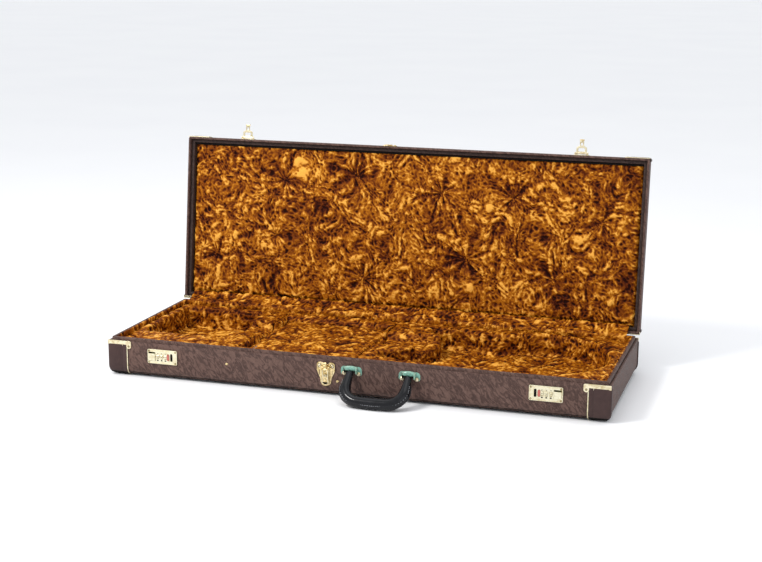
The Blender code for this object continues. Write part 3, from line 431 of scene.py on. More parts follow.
def carried(profile, half_x, half_y, radius, caps=(True, True), closed=False, cuts=(0, 0)):
    """A profile of (inset, z) points carried round the case as a surface."""
    bm = bmesh.new()
    rows = []
    for inset, z in profile:
        outline = loop_points(half_x - inset, half_y - inset, radius - inset, cuts)
        rows.append([bm.verts.new((x, y, z)) for x, y in outline])
    if closed:
        rows.append(rows[0])
    ring_faces(bm, rows, caps)
    bmesh.ops.recalc_face_normals(bm, faces=bm.faces)
    bm.normal_update()
    return bm


def parted(bm, test):
    """Takes the faces that pass a test out of a mesh, and returns them as a mesh of their own."""
    taken = bm.copy()
    bmesh.ops.delete(bm, geom=[f for f in bm.faces if test(f)], context="FACES")
    bmesh.ops.delete(taken, geom=[f for f in taken.faces if not test(f)], context="FACES")
    return taken


def painted_shade_underside(face):
    """Whether a face looks down, near the floor; these faces are painted black as shade."""
    return face.normal.z < -0.5 and face.calc_center_median().z < BASE + 0.008


def arc_profile(radius, z_flat, up):
    """(inset, z) points of a rounded long edge, from the flat face round to the upright wall."""
    steps = 8
    angles = [math.pi / 2 * step / steps for step in range(steps + 1)]
    return [(radius * (1 - math.sin(a)), z_flat + up * radius * (1 - math.cos(a))) for a in angles]


def keep(bm, point, normal):
    """Cuts a surface along a plane and leaves only the side that the normal points to."""
    geometry = bm.verts[:] + bm.edges[:] + bm.faces[:]
    bmesh.ops.bisect_plane(bm, geom=geometry, plane_co=point, plane_no=normal, clear_inner=True)


def score(bm, point, normal):
    """Cuts the surface along a plane and returns the new line's vertices."""
    geometry = bm.verts[:] + bm.edges[:] + bm.faces[:]
    made = bmesh.ops.bisect_plane(bm, geom=geometry, plane_co=point, plane_no=normal)
    return [v for v in made["geom_cut"] if isinstance(v, bmesh.types.BMVert)]


def thickened(bm, thickness, bevel):
    """A closed sheet grown outwards from a surface, with softened edges."""
    obj = new_object("sheet", bm)
    shell = obj.modifiers.new("shell", "SOLIDIFY")
    shell.thickness = thickness
    shell.offset = 1.0
    shell.use_even_offset = True
    soft = obj.modifiers.new("soft", "BEVEL")
    soft.width = bevel
    soft.segments = 2
    soft.limit_method = "ANGLE"
    soft.angle_limit = math.radians(50)
    return evaluated(obj)


def block(low, high, bevel=0.0, segments=3):
    """A box between two corners with rounded edges."""
    bm = bmesh.new()
    bmesh.ops.create_cube(bm, size=1)
    low = Vector([min(a, b) for a, b in zip(low, high)])
    high = Vector([max(a, b) for a, b in zip(low, high)])
    bmesh.ops.scale(bm, vec=high - low, verts=bm.verts)
    bmesh.ops.translate(bm, vec=(low + high) / 2, verts=bm.verts)
    if bevel:
        bmesh.ops.bevel(bm, geom=bm.edges[:], offset=bevel, segments=segments, profile=0.5, affect="EDGES")
    return bm


def turned(profile, place, axis, sides):
    """A turned piece: (radius, height) points about an axis, closed at both ends."""
    bm = bmesh.new()
    rows = []
    for radius, height in profile:
        if radius < 1e-6:
            rows.append([bm.verts.new((0, 0, height))] * sides)
            continue
        rows.append([bm.verts.new((x, y, height)) for x, y in circle(0, 0, radius, sides)])
    for low, high in zip(rows, rows[1:]):
        for i in range(sides):
            j = (i + 1) % sides
            corners = []
            for v in (low[i], low[j], high[j], high[i]):
                if v not in corners:
                    corners.append(v)
            if len(corners) > 2:
                bm.faces.new(corners)
    for row, flip in ((rows[0], True), (rows[-1], False)):
        if row[0] is not row[1]:
            bm.faces.new(list(reversed(row)) if flip else row)
    turn = Vector((0, 0, 1)).rotation_difference(Vector(axis)).to_matrix().to_4x4()
    bm.transform(Matrix.Translation(place) @ turn)
    bmesh.ops.recalc_face_normals(bm, faces=bm.faces)
    return bm


def rounded(corners, steps=5):
    """A closed outline of (u, v) points from corners (u, v, radius)."""
    points = []
    count = len(corners)
    for i, (u, v, radius) in enumerate(corners):
        here = Vector((u, v))
        if radius <= 0:
            points.append(here)
            continue
        before = (Vector(corners[i - 1][:2]) - here).normalized()
        after = (Vector(corners[(i + 1) % count][:2]) - here).normalized()
        half = before.angle(after) / 2
        reach = radius / math.tan(half)
        centre = here + (before + after).normalized() * radius / math.sin(half)
        start = here + before * reach - centre
        sweep = (here + after * reach - centre).angle_signed(start)
        for step in range(steps + 1):
            points.append(centre + Matrix.Rotation(sweep * step / steps, 2) @ start)
    return points


def circle(u, v, radius, sides):
    angles = [2 * math.pi * i / sides for i in range(sides)]
    return [(u + radius * math.cos(a), v + radius * math.sin(a)) for a in angles]


def rounded_box(u, v, half_u, half_v, radius=None):
    """A rectangle's outline with round corners, or with round ends when no radius is given."""
    if radius is None:
        radius = min(half_u, half_v) * 0.999
    signs = ((-1, -1), (1, -1), (1, 1), (-1, 1))
    return rounded([(u + a * half_u, v + b * half_v, radius) for a, b in signs])


def mirrored(x, half, steps=5):
    """An outline symmetrical about x, from its right half's corners (distance from x, v, radius)."""
    right = [(x + u, v, radius) for u, v, radius in half]
    left = [(x - u, v, radius) for u, v, radius in reversed(half)]
    return rounded(right + left, steps)


def pin(place, radius, half, sides, inner=0.0, chamfer=None):
    """A turned pin along X; a chamfer is what it takes off the radius and off the length."""
    ends = [(inner, half), (radius, half)]
    if chamfer:
        ends = [(0.0, half), (radius - chamfer[0], half), (radius, half - chamfer[1])]
    profile = [(r, -h) for r, h in ends] + [(r, h) for r, h in reversed(ends)]
    return turned(profile, place, ALONG, sides)


def disc(place, wide, narrow, sides, low=-0.0002, high=0.0002, axis=TO_FRONT):
    """A thin round inlay, narrower at its outer face."""
    return turned([(0.0, low), (wide, low), (narrow, high), (0.0, high)], place, axis, sides)


def plate(outlines, y_back, thickness, bevel=0.0004):
    """A plate standing in the X-Z plane, facing -Y, from an outline and any holes in it."""
    curve = bpy.data.curves.new("plate", "CURVE")
    curve.dimensions = "2D"
    curve.fill_mode = "BOTH"
    curve.extrude = thickness / 2 - bevel
    curve.bevel_depth = bevel
    curve.bevel_resolution = 2
    curve.offset = -bevel
    for outline in outlines:
        spline = curve.splines.new("POLY")
        spline.points.add(len(outline) - 1)
        for point, (u, v) in zip(spline.points, outline):
            point.co = (u, v, 0, 1)
        spline.use_cyclic_u = True
    obj = bpy.data.objects.new("plate", curve)
    bpy.context.scene.collection.objects.link(obj)
    bm = evaluated(obj)
    bmesh.ops.remove_doubles(bm, verts=bm.verts, dist=2e-6)
    upright = Matrix.Translation((0, y_back - thickness / 2, 0)) @ Matrix.Rotation(math.pi / 2, 4, "X")
    bm.transform(upright)
    bmesh.ops.recalc_face_normals(bm, faces=bm.faces)
    return bm


def tube(points, radii, sides=10, cyclic=False, flatten=1.0, flat_axis=None):
    """A swept tube with its own radius at each point."""
    bm = bmesh.new()
    rings = []
    count = len(points)
    points = [Vector(p) for p in points]
    reference = Vector(flat_axis) if flat_axis else None
    for i, here in enumerate(points):
        ahead = points[(i + 1) % count] if cyclic or i + 1 < count else here
        behind = points[i - 1] if cyclic or i else here
        along = (ahead - behind).normalized()
        side = reference or (Vector((0, 0, 1)) if abs(along.z) < 0.9 else Vector((1, 0, 0)))
        across = along.cross(side).normalized()
        upward = across.cross(along).normalized()
        radius = radii[i] if isinstance(radii, (list, tuple)) else radii
        ring = []
        for k in range(sides):
            angle = 2 * math.pi * k / sides
            offset = across * math.cos(angle) + upward * math.sin(angle) * flatten
            ring.append(bm.verts.new(here + offset * radius))
        rings.append(ring)
    if cyclic:
        rings.append(rings[0])
    ring_faces(bm, rings, (not cyclic, not cyclic))
    bmesh.ops.recalc_face_normals(bm, faces=bm.faces)
    return bm


THREAD_SIDES = 5


def stitches(path, normal, pitch=0.0032, length=0.0022, radius=0.00028):
    """Short raised threads along a line of points on a surface."""
    joined = bmesh.new()
    normal = Vector(normal)
    path = [Vector(p) for p in path]
    spare = 0.0
    for start, end in zip(path, path[1:]):
        run = end - start
        along = run.normalized()
        across = along.cross(normal).normalized()
        at = spare
        while at + length < run.length:
            first = start + along * at
            ends = []
            for t, grown in ((0, 0.35), (0.25, 1.0), (0.75, 1.0), (1, 0.35)):
                middle = first + along * length * t
                ring = []
                for k in range(THREAD_SIDES):
                    angle = 2 * math.pi * k / THREAD_SIDES
                    offset = across * math.cos(angle) + normal * math.sin(angle) * 0.8
                    ring.append(joined.verts.new(middle + offset * radius * grown))
                ends.append(ring)
            ring_faces(joined, ends)
            at += pitch
        spare = max(0.0, at - run.length)
    bmesh.ops.recalc_face_normals(joined, faces=joined.faces)
    return joined


def rivet(place, axis, radius, height):
    """A domed rivet head with a thin rim."""
    lip = 0.12
    steps = 5
    dome = [(radius, -0.0003), (radius, height * lip)]
    for step in range(1, steps):
        angle = math.pi / 2 * step / steps
        dome.append((radius * 0.93 * math.cos(angle), height * (lip + (1 - lip) * math.sin(angle))))
    return turned([*dome, (0.0, height)], place, axis, 20)


# ---- shells --------------------------------------------------------------------------------------
def make_shell(part):
    """The vinyl-covered shell of one half, with the sewn line near its rim."""
    flat, rim, up, turn = HALVES[part]
    lip = 0.0009
    profile = [
        *arc_profile(BOTTOM_RADIUS, flat, up),
        (0, rim - up * lip),
        (lip * 0.3, rim - up * lip * 0.3),
        (lip, rim),
        (WALL - lip, rim),
        (WALL, rim - up * lip),
        (WALL, flat + up * WALL),
    ]
    shell = carried(profile, HALF_X, HALF_Y, CORNER_RADIUS)
    parts = [(shell, VINYL), (sewn_lines(rim - up * 0.0080), THREAD)]
    if part == "tray":
        # the tray's underside near the floor is painted black as shade
        parts.insert(0, (parted(shell, painted_shade_underside), PAINTED_SHADE_BLACK))
    settle(gather(f"{part}_shell_vinyl", parts), part, "vinyl", f"{part}_shell", turn=turn)


def sewn_lines(z):
    """Threads along both long faces at one height, between the corner patches."""
    joined = bmesh.new()
    reach = HALF_X - PATCH_REACH - 0.012
    for face in BOTH:
        y = MID_Y + face * (HALF_Y + 0.00005)
        pour(stitches([(-reach, y, z), (reach, y, z)], (0, face, 0)), joined)
    return joined


def board_ring(inset, thick, foot, top, up):
    """A board that runs all round the case, with its free edge softened."""
    soft = 0.0016
    rise = [(0, foot), (0, top - up * soft), (soft * 0.3, top - up * soft * 0.3), (soft, top)]
    section = rise + [(thick - across, z) for across, z in reversed(rise)]
    return carried(section, HALF_X - inset, HALF_Y - inset, 0.004, (False, False), closed=True)


def make_boards():
    """The tray's raised liner board, and the lid's inner frame in a darker vinyl as painted shade, with black
    strips inside it as painted shadow.
    """
    low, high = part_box("tray_liner_board")
    board = board_ring(HALF_X - high.x, 0.0060, low.z, high.z, 1)
    settle(gather("tray_liner_vinyl", [(board, VINYL)]), "tray", "liner_board", "tray_liner_board")

    # the lid frame's vinyl is a darker copy of the brown vinyl: painted shade
    parts = [(board_ring(0.0046, 0.0074, LID_TOP - 0.010, LID_RIM + 0.0075, -1), SHADED_RIM_VINYL)]
    end = HALF_X - 0.0118
    # black strips along the frame's front and hinge sides: painted shadow between frame and plush
    for y_near, y_far in ((FRONT + 0.0115, FRONT + 0.0165), (REAR - 0.0115, REAR - 0.0205)):
        painted_shadow_strip = block((-end, y_near, LID_RIM + 0.0132), (end, y_far, LID_RIM + 0.0195), 0.0008, 2)
        parts.append((painted_shadow_strip, PAINTED_SHADE_BLACK))
    settle(gather("lid_frame_vinyl", parts), "lid", "liner_board", "lid_inner_frame", turn=LID_OPEN)


# ---- leather corners and brass edge clamps -------------------------------------------------------
def corner_surface(part, grow, z_stop):
    """The outside of one shell grown by a distance, from its flat face to a height."""
    flat, _, up, _ = HALVES[part]
    profile = arc_profile(BOTTOM_RADIUS + grow, flat - up * grow, up)
    return carried([*profile, (0, z_stop)], HALF_X + grow, HALF_Y + grow, CORNER_RADIUS + grow, (True, False))


def make_patch(part, y_side, x_side):
    """A leather corner with a pressed seam, and a row of stitches on either side of the seam."""
    sx = SIDES[x_side]
    sy = ENDS[y_side]
    _, rim, up, turn = HALVES[part]
    bm = corner_surface(part, PATCH_GAP, rim - up * 0.0070)
    keep(bm, (sx * (HALF_X - PATCH_REACH), 0, 0), (sx, 0, 0))
    keep(bm, (0, MID_Y + sy * (HALF_Y - PATCH_REACH), 0), (0, sy, 0))
    wrap = MID_Y + sy * (HALF_Y - PATCH_WRAP)
    end_faces = [f for f in bm.faces if f.normal.x * sx > 0.85]
    spare = [e for f in end_faces for e in f.edges] + end_faces + [v for f in end_faces for v in f.verts]
    bmesh.ops.bisect_plane(bm, geom=list(set(spare)), plane_co=(0, wrap, 0), plane_no=(0, sy, 0))
    gone = [f for f in bm.faces if f.normal.x * sx > 0.6 and (f.calc_center_median().y - wrap) * sy < 0]
    bmesh.ops.delete(bm, geom=gone, context="FACES")
    seam = sx * (HALF_X - PATCH_REACH + 0.0085)
    for step in (-0.0011, 0.0011):
        score(bm, (seam + step, 0, 0), ALONG)
    groove = score(bm, (seam, 0, 0), ALONG)
    bm.normal_update()
    for v in groove:
        v.co -= v.normal * 0.0007
    sheet = thickened(bm, PATCH_THICKNESS, 0.0006)
    sheet.normal_update()
    # the patch's underside near the floor is painted black as shade
    parts = [(parted(sheet, painted_shade_underside), PAINTED_SHADE_BLACK), (sheet, PATCH)]
    y = MID_Y + sy * (HALF_Y + PATCH_THICKNESS + PATCH_GAP)
    last = 0.055 if part == "tray" else 0.029
    for shift in (-0.0022, 0.0022):
        ends = [(seam + shift, y, rim - up * drop) for drop in (0.0110, last)]
        parts.append((stitches(ends, (0, sy, 0), 0.0030, 0.0021, 0.0002), THREAD))
    piece = gather(f"{part}_corner_{y_side}_{x_side}_leather", parts, 50)
    settle(piece, part, "patch_leather", f"{part}_corner_{y_side}_{x_side}", turn=turn)


def clamp_outline(sx, rim, up):
    """The clamp's face: a narrow band that steps out to a round riveted lobe."""
    def at(u, drop, radius):
        return (sx * (HALF_X + 0.0004 - u), rim - up * drop, radius)

    corners = [
        at(0.0000, -0.0006, 0.0006),
        at(0.0518, -0.0006, 0.0030),
        at(0.0518, 0.0156, 0.0050),
        at(0.0418, 0.0156, 0.0046),
        at(0.0413, 0.0108, 0.0006),
        at(0.0300, 0.0108, 0.0026),
        at(0.0250, 0.0082, 0.0026),
        at(0.0000, 0.0082, 0.0006),
    ]
    return rounded(corners)


def make_trim(part, y_side, x_side):
    """A brass clamp: its face, the fold over the rim and round the corner, rivet and hanging strip."""
    sx = SIDES[x_side]
    sy = ENDS[y_side]
    _, rim, up, turn = HALVES[part]
    thick = 0.0015

    def beyond(end, side, edge):
        """A place by its distances beyond the end face, beyond the long face and beyond the rim."""
        return (sx * (HALF_X + end), MID_Y + sy * (HALF_Y + side), rim + up * edge)

    face = plate([clamp_outline(sx, rim, up)], 0, thick, 0.00045)
    if sy > 0:
        bmesh.ops.reverse_faces(face, faces=face.faces)
        face.transform(Matrix.Diagonal((1, -1, 1, 1)))
    bmesh.ops.translate(face, vec=(0, MID_Y + sy * (HALF_Y + PATCH_GAP), 0), verts=face.verts)
    fold = block(beyond(0.0004, -0.0042, 0.0002), beyond(-0.0510, 0.0008, 0.0010), 0.00035, 2)
    wrap = block(beyond(0.0002, -0.0048, 0.0008), beyond(0.0013, 0.0014, -0.0078), 0.0005, 2)
    spot = beyond(-0.0462, PATCH_GAP + thick, -0.0104)
    parts = [(face, BRASS), (fold, BRASS), (wrap, BRASS)]
    # a black ring round the rivet: painted shade in its seat
    parts.append((disc(spot, 0.0023, 0.0021, 20, axis=(0, sy, 0)), DARK_FINISH_AND_SHADE))
    parts.append((rivet(spot, (0, sy, 0), 0.0012, 0.0007), GOLD))
    inner = HALF_X - PATCH_REACH - 0.0003
    # the strip that hangs from the clamp, and a black line beside it as its painted shadow
    for near, width, grow, sheet, material in (
        (0.0, 0.0022, 0.0004, 0.0011, BRASS),
        (0.0022, 0.0009, 0.0001, 0.0005, PAINTED_SHADE_BLACK),
    ):
        strip = corner_surface(part, grow, rim - up * 0.0140)
        keep(strip, (sx * (inner - near - width), 0, 0), (sx, 0, 0))
        keep(strip, (sx * (inner - near), 0, 0), (-sx, 0, 0))
        keep(strip, (0, MID_Y + sy * (HALF_Y - 0.030), 0), (0, sy, 0))
        parts.append((thickened(strip, sheet, 0.0003), material))
    piece = gather(f"{part}_trim_{y_side}_{x_side}_brass", parts)
    settle(piece, part, "brass", f"{part}_trim_{y_side}_{x_side}", turn=turn)


# ---- combination locks -----------------------------------------------------------------------------
DIAL_OFFSETS = (-0.0096, -0.0012, 0.0072)
DIAL_RADIUS = 0.0075


def make_lock(side):
    """The lock's plate with its screws, marks and recesses, and its dials, button and red bar."""
    inward = -SIDES[side]
    low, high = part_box(f"lock_body_{side}")
    centre = (low.x + high.x) / 2
    middle = (low.z + high.z) / 2
    half_u = (high.x - low.x) / 2
    half_v = (high.z - low.z) / 2
    dial_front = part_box(f"dial_{side}_1")[0].y
    face = dial_front + 0.0013
    low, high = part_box(f"release_button_{side}")

    def at(offset):
        return centre + inward * offset

    dials = [at(offset) for offset in DIAL_OFFSETS]
    bar_u = at(0.0129)
    margin = 0.0003
    hole_top = high.z + 0.0032
    button_hole = [
        (low.x - margin, low.z - margin, 0.0007),
        (high.x + margin, low.z - margin, 0.0007),
        (high.x + margin, hole_top, 0.0007),
        (low.x - margin, hole_top, 0.0007),
    ]
    outlines = [rounded_box(centre, middle, half_u, half_v, 0.0026), rounded(button_hole)]
    outlines += [rounded_box(u, middle, 0.0026, 0.0049, 0.0005) for u in dials]
    outlines += [rounded_box(at(0.0201), middle, 0.0025, 0.0080), rounded_box(bar_u, middle, 0.0027, 0.0068)]
    # a black block behind the plate: painted shade seen through its openings
    behind = block(
        (centre - half_u + 0.001, FRONT - 0.0014, middle - half_v + 0.001),
        (centre + half_u - 0.001, FRONT - 0.0004, middle + half_v - 0.001),
        0.0002,
        1,
    )
    parts = [(plate(outlines, PLATE_BACK, PLATE_BACK - face, 0.0005), SATIN), (behind, DARK_FINISH_AND_SHADE)]
    border = rounded_box(centre, middle, half_u - 0.0022, half_v - 0.0022, 0.0016)
    border = [Vector((u, face - 0.00002, v)) for u, v in border]
    parts.append((tube(border, 0.00022, 6, True, 0.6, (0, 1, 0)), GOLD))
    for a in BOTH:
        for b in BOTH:
            spot = (centre + a * (half_u - 0.0034), face, middle + b * (half_v - 0.0032))
            parts += screw(spot, 0.5 + a * 0.6 + b * 1.1)

    def mark(low_u, high_u, low_v, high_v, proud, soft, material):
        piece = block((low_u, face - proud, low_v), (high_u, face + 0.0004, high_v), soft, 1)
        parts.append((piece, material))

    for u in dials:
        for z, half_w, half_h in ((middle + 0.0070, 0.0013, 0.0005), (middle - 0.0074, 0.0017, 0.0013)):
            mark(u - half_w, u + half_w, z - half_h, z + half_h, 0.00012, 0.00008, DARK_FINISH_AND_SHADE)
    for near, far in ((-0.0147, -0.0126), (-0.0066, -0.0042), (0.0018, 0.0042), (0.0100, 0.0106)):
        mark(at(near), at(far), middle - 0.0005, middle + 0.0005, 0.0001, 0.00005, INK)
    well_low = (low.x, FRONT - 0.0016, high.z - 0.001)
    parts.append((block(well_low, (high.x, FRONT - 0.0012, high.z + 0.0034), 0.0001, 1), OLIVE))
    socket = disc((low.x + 0.0036, face + 0.0014, high.z + 0.0016), 0.0024, 0.0024, 12, 0.0, 0.0004)
    parts.append((socket, DARK_FINISH_AND_SHADE))
    settle(gather(f"lock_plate_{side}", parts), "tray", "brass", f"lock_body_{side}")
    make_dials(side, dials, middle, dial_front)

    button = block((low.x, face - 0.0016, low.z), (high.x, FRONT - 0.0010, high.z), 0.0007)
    edge = 0.0016
    dish = block(
        (low.x + edge, face - 0.00165, low.z + edge), (high.x - edge, face - 0.0012, high.z - edge), 0.0003
    )
    piece = gather(f"release_button_{side}_cap", [(button, SATIN), (dish, SATIN)])
    settle(piece, f"release_button_{side}", "brass", f"release_button_{side}")

    bar = plate([rounded_box(bar_u, middle, 0.0023, 0.0064)], FRONT, 0.0042, 0.0006)
    piece = gather(f"reset_bar_{side}_red", [(bar, RED)])
    settle(piece, f"reset_bar_{side}", "red_enamel", f"reset_bar_{side}")


def screw(spot, turn):
    """A small screw with a crossed slot painted black as shade, sunk in a dark seat."""
    head = turned([(0.0015, -0.0002), (0.0015, 0.0002), (0.0011, 0.0004), (0.0, 0.0004)], spot, TO_FRONT, 18)
    parts = [(disc(spot, 0.0021, 0.0021, 18, high=0.00006), OLIVE), (head, GOLD)]
    for extra in (0, math.pi / 2):
        groove = block((-0.0012, -0.00055, -0.00022), (0.0012, -0.0002, 0.00022), 0.00005, 1)
        groove.transform(Matrix.Translation(spot) @ Matrix.Rotation(turn + extra, 4, "Y"))
        parts.append((groove, DARK_FINISH_AND_SHADE))
    return parts


def make_dials(side, places, middle, dial_front):
    """Three wheels with milled edges and raised numerals."""
    half = 0.0024
    sides = 60
    to_front = Matrix.Translation((0, -(DIAL_RADIUS + 0.00002), 0)) @ Matrix.Rotation(math.pi / 2, 4, "X")
    for number, u in enumerate(places, 1):
        hub = Vector((u, dial_front + DIAL_RADIUS, middle))
        bm = bmesh.new()
        rows = []
        for x, lower in ((-half, 0.0006), (-half * 0.8, 0.0), (half * 0.8, 0.0), (half, 0.0006)):
            row = []
            for k in range(sides):
                angle = 2 * math.pi * k / sides
                notch = 0.0003 if k % 6 in (0, 1) else 0.0
                radius = DIAL_RADIUS - lower - notch
                spoke = Vector((x, radius * math.cos(angle), radius * math.sin(angle)))
                row.append(bm.verts.new(hub + spoke))
            rows.append(row)
        ring_faces(bm, rows)
        bmesh.ops.recalc_face_normals(bm, faces=bm.faces)
        parts = [(bm, SATIN)]
        for digit in range(10):
            curve = bpy.data.curves.new("numeral", "FONT")
            curve.body = str((digit + number * 3) % 10)
            curve.size = 0.0034
            curve.extrude = 0.00012
            curve.align_x = "CENTER"
            curve.align_y = "CENTER"
            curve.resolution_u = 3
            text = bpy.data.objects.new("numeral", curve)
            bpy.context.scene.collection.objects.link(text)
            swing = Matrix.Rotation(2 * math.pi * digit / 10, 4, "X")
            text.matrix_world = Matrix.Translation(hub) @ swing @ to_front
            parts.append((text, DARK_FINISH_AND_SHADE))
        piece = gather(f"dial_{side}_{number}_wheel", parts)
        settle(piece, f"dial_{side}_{number}", "brass", f"dial_{side}_{number}")


# ---- hasps and the lid's catch -----------------------------------------------------------------------
def make_hasp(side):
    """The hasp's base with two round ears, and the sprung arm with its window and curled end."""
    low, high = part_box(f"hasp_base_{side}")
    centre = (low.x + high.x) / 2
    pivot = LID_OPEN.inverted() @ Vector(JOINTS[f"hasp_{side}_hinge"]["pos_m"])
    axle = (centre, pivot.y, pivot.z)
    bottom = LID_RIM + 0.0006
    top = LID_RIM + 0.0123
    half = [
        (0.0165, bottom, 0.0015),
        (0.0165, top, 0.0046),
        (0.0062, top, 0.0040),
        (0.0045, LID_RIM + 0.0062, 0.0015),
    ]
    parts = [(plate([mirrored(centre, half)], PLATE_BACK, 0.0012, 0.0003), BRASS)]
    for end in BOTH:
        spot = (centre + end * 0.0112, PLATE_BACK - 0.0012, LID_RIM + 0.0077)
        parts.append((rivet(spot, TO_FRONT, 0.0026, 0.0013), GOLD))
        ear_x = centre + end * 0.0132
        parts.append((pin((ear_x, pivot.y, pivot.z), 0.0024, 0.0011, 20, chamfer=(0.0003, 0.0003)), BRASS))
        low = (ear_x - 0.0010, pivot.y, pivot.z - 0.0014)
        high = (ear_x + 0.0010, PLATE_BACK - 0.0004, pivot.z + 0.0016)
        parts.append((block(low, high, 0.0003), BRASS))
    parts.append((pin(axle, 0.0009, 0.0140, 12), GOLD))
    settle(gather(f"hasp_base_{side}_brass", parts), "lid", "brass", f"hasp_base_{side}", turn=LID_OPEN)

    # the arm is drawn flat, with v running from its axle to its free end
    thick = 0.0014
    reach = 0.0245
    free_end = reach + 0.0026
    half = [
        (0.0042, free_end, 0.0020),
        (0.0045, 0.0150, 0.0030),
        (0.0112, 0.0125, 0.0045),
        (0.0112, 0.0, 0.0006),
    ]
    window = mirrored(centre, [(0.0066, 0.0105, 0.0022), (0.0066, 0.0036, 0.0010)])
    slot = mirrored(centre, [(0.0020, 0.0215, 0.0009), (0.0020, 0.0160, 0.0009)])
    arm = plate([mirrored(centre, half), window, slot], thick / 2, thick, 0.0004)
    lay = Matrix.Translation((0, pivot.y, pivot.z)) @ Matrix.Rotation(math.pi / 2, 4, "X")
    arm.transform(lay @ Matrix.Diagonal((1, -1, 1, 1)))
    bmesh.ops.recalc_face_normals(arm, faces=arm.faces)
    parts = [(arm, BRASS), (pin(axle, 0.0021, 0.0112, 18, inner=0.0012), BRASS)]
    curl = (centre, pivot.y - free_end, pivot.z + 0.0008)
    parts.append((pin(curl, 0.0016, 0.0047, 18, chamfer=(0.0003, 0.0003)), GOLD))
    low = (centre - 0.0015, pivot.y - reach - 0.0010, pivot.z - 0.0060)
    high = (centre + 0.0015, pivot.y - reach + 0.0010, pivot.z + 0.0002)
    parts.append((block(low, high, 0.0004), BRASS))
    piece = gather(f"hasp_arm_{side}_brass", parts)
    settle(piece, f"hasp_{side}", "brass", f"hasp_arm_{side}", turn=LID_OPEN)


def make_catch():
    """The catch on the lid over the key latch: two round lobes with an arch between them."""
    z = LID_RIM + 0.0010
    top = z + 0.0092
    half = [(0.0155, z, 0.0012), (0.0155, top, 0.0044), (0.0060, top, 0.0035), (0.0052, z + 0.0066, 0.0006)]
    parts = [(plate([mirrored(LATCH_X, half)], PLATE_BACK, 0.0012, 0.0003), GOLD)]
    for end in BOTH:
        spot = (LATCH_X + end * 0.0107, PLATE_BACK - 0.0012, z + 0.0046)
        parts.append((rivet(spot, TO_FRONT, 0.0029, 0.0017), GOLD))
    tongue = mirrored(LATCH_X, [(0.0055, RIM - 0.0070, 0.0018), (0.0055, LID_RIM + 0.0078, 0.0018)])
    slit = mirrored(LATCH_X, [(0.0030, RIM - 0.0045, 0.0010), (0.0030, RIM - 0.0010, 0.0010)])
    parts.append((plate([tongue, slit], PLATE_BACK - 0.0022, 0.0012, 0.0003), GOLD))
    root_low = (LATCH_X - 0.0050, PLATE_BACK - 0.0026, LID_RIM + 0.0048)
    root_high = (LATCH_X + 0.0050, PLATE_BACK - 0.0008, LID_RIM + 0.0074)
    parts.append((block(root_low, root_high, 0.0006), GOLD))
    settle(gather("lid_catch_brass", parts), "lid", "brass", "lid_catch", turn=LID_OPEN)


# ---- key latch ---------------------------------------------------------------------------------------
LATCH_LOW, LATCH_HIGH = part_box("latch_plate")
LATCH_X = (LATCH_LOW.x + LATCH_HIGH.x) / 2
LEVER_PIVOT = Vector(JOINTS["latch_lever_hinge"]["pos_m"])
HOOK_PIVOT = Vector(JOINTS["latch_hook_hinge"]["pos_m"])
BARREL = Vector(JOINTS["key_barrel_turn"]["pos_m"])


def make_latch():
    """A key latch: shield plate, ribbed lever with its key barrel, and the hook that grips the catch."""
    make_shield()
    make_lever()
    make_key_barrel()
    make_hook()


def make_shield():
    """The latch's plate, with its raised border, rivets, ears and the lever's pin."""
    top = LATCH_HIGH.z
    base = LATCH_LOW.z
    half = [
        (0.0045, top - 0.0035, 0.0010),
        (0.0070, top + 0.0004, 0.0030),
        (0.0185, top + 0.0002, 0.0056),
        (0.0185, top - 0.0170, 0.0060),
        (0.0120, base + 0.0150, 0.0120),
        (0.0098, base, 0.0085),
    ]
    shield = mirrored(LATCH_X, half)
    parts = [(plate([shield], PLATE_BACK, 0.0013, 0.00045), GOLD)]
    front = PLATE_BACK - 0.0013
    bead = [(LATCH_X + (u - LATCH_X) * 0.90, base + 0.0012 + (v - base) * 0.945) for u, v in shield]
    bead = [Vector((u, front - 0.00005, v)) for u, v in bead]
    parts.append((tube(bead, 0.00035, 6, True, 0.7, (0, 1, 0)), BRASS))
    for end in BOTH:
        spot = Vector((LATCH_X + end * 0.0130, front, top - 0.0068))
        # black rings round the rivets and dots in their middles: painted shade
        parts.append((disc(spot, 0.0043, 0.0041, 22), DARK_FINISH_AND_SHADE))
        parts.append((rivet(spot, TO_FRONT, 0.0033, 0.0013), BRASS))
        parts.append((disc(spot + Vector((0, -0.0012, 0)), 0.0009, 0.0007, 12, 0.0, 0.0003), DARK_FINISH_AND_SHADE))
        ear_x = LATCH_X + end * 0.0086
        low = (ear_x - 0.0009, LEVER_PIVOT.y - 0.0019, LEVER_PIVOT.z - 0.0024)
        parts.append((block(low, (ear_x + 0.0009, front + 0.0003, LEVER_PIVOT.z + 0.0024), 0.0005), GOLD))
        pan_x = LATCH_X + end * 0.0132
        low = (pan_x - 0.0006, front - 0.0001, base + 0.020)
        parts.append((block(low, (pan_x + 0.0006, front + 0.0003, top - 0.015), 0.0001, 1), DARK_FINISH_AND_SHADE))
    parts.append((pin(LEVER_PIVOT, 0.0010, 0.0095, 12), GOLD))
    settle(gather("latch_plate_shield", parts), "tray", "brass", "latch_plate")


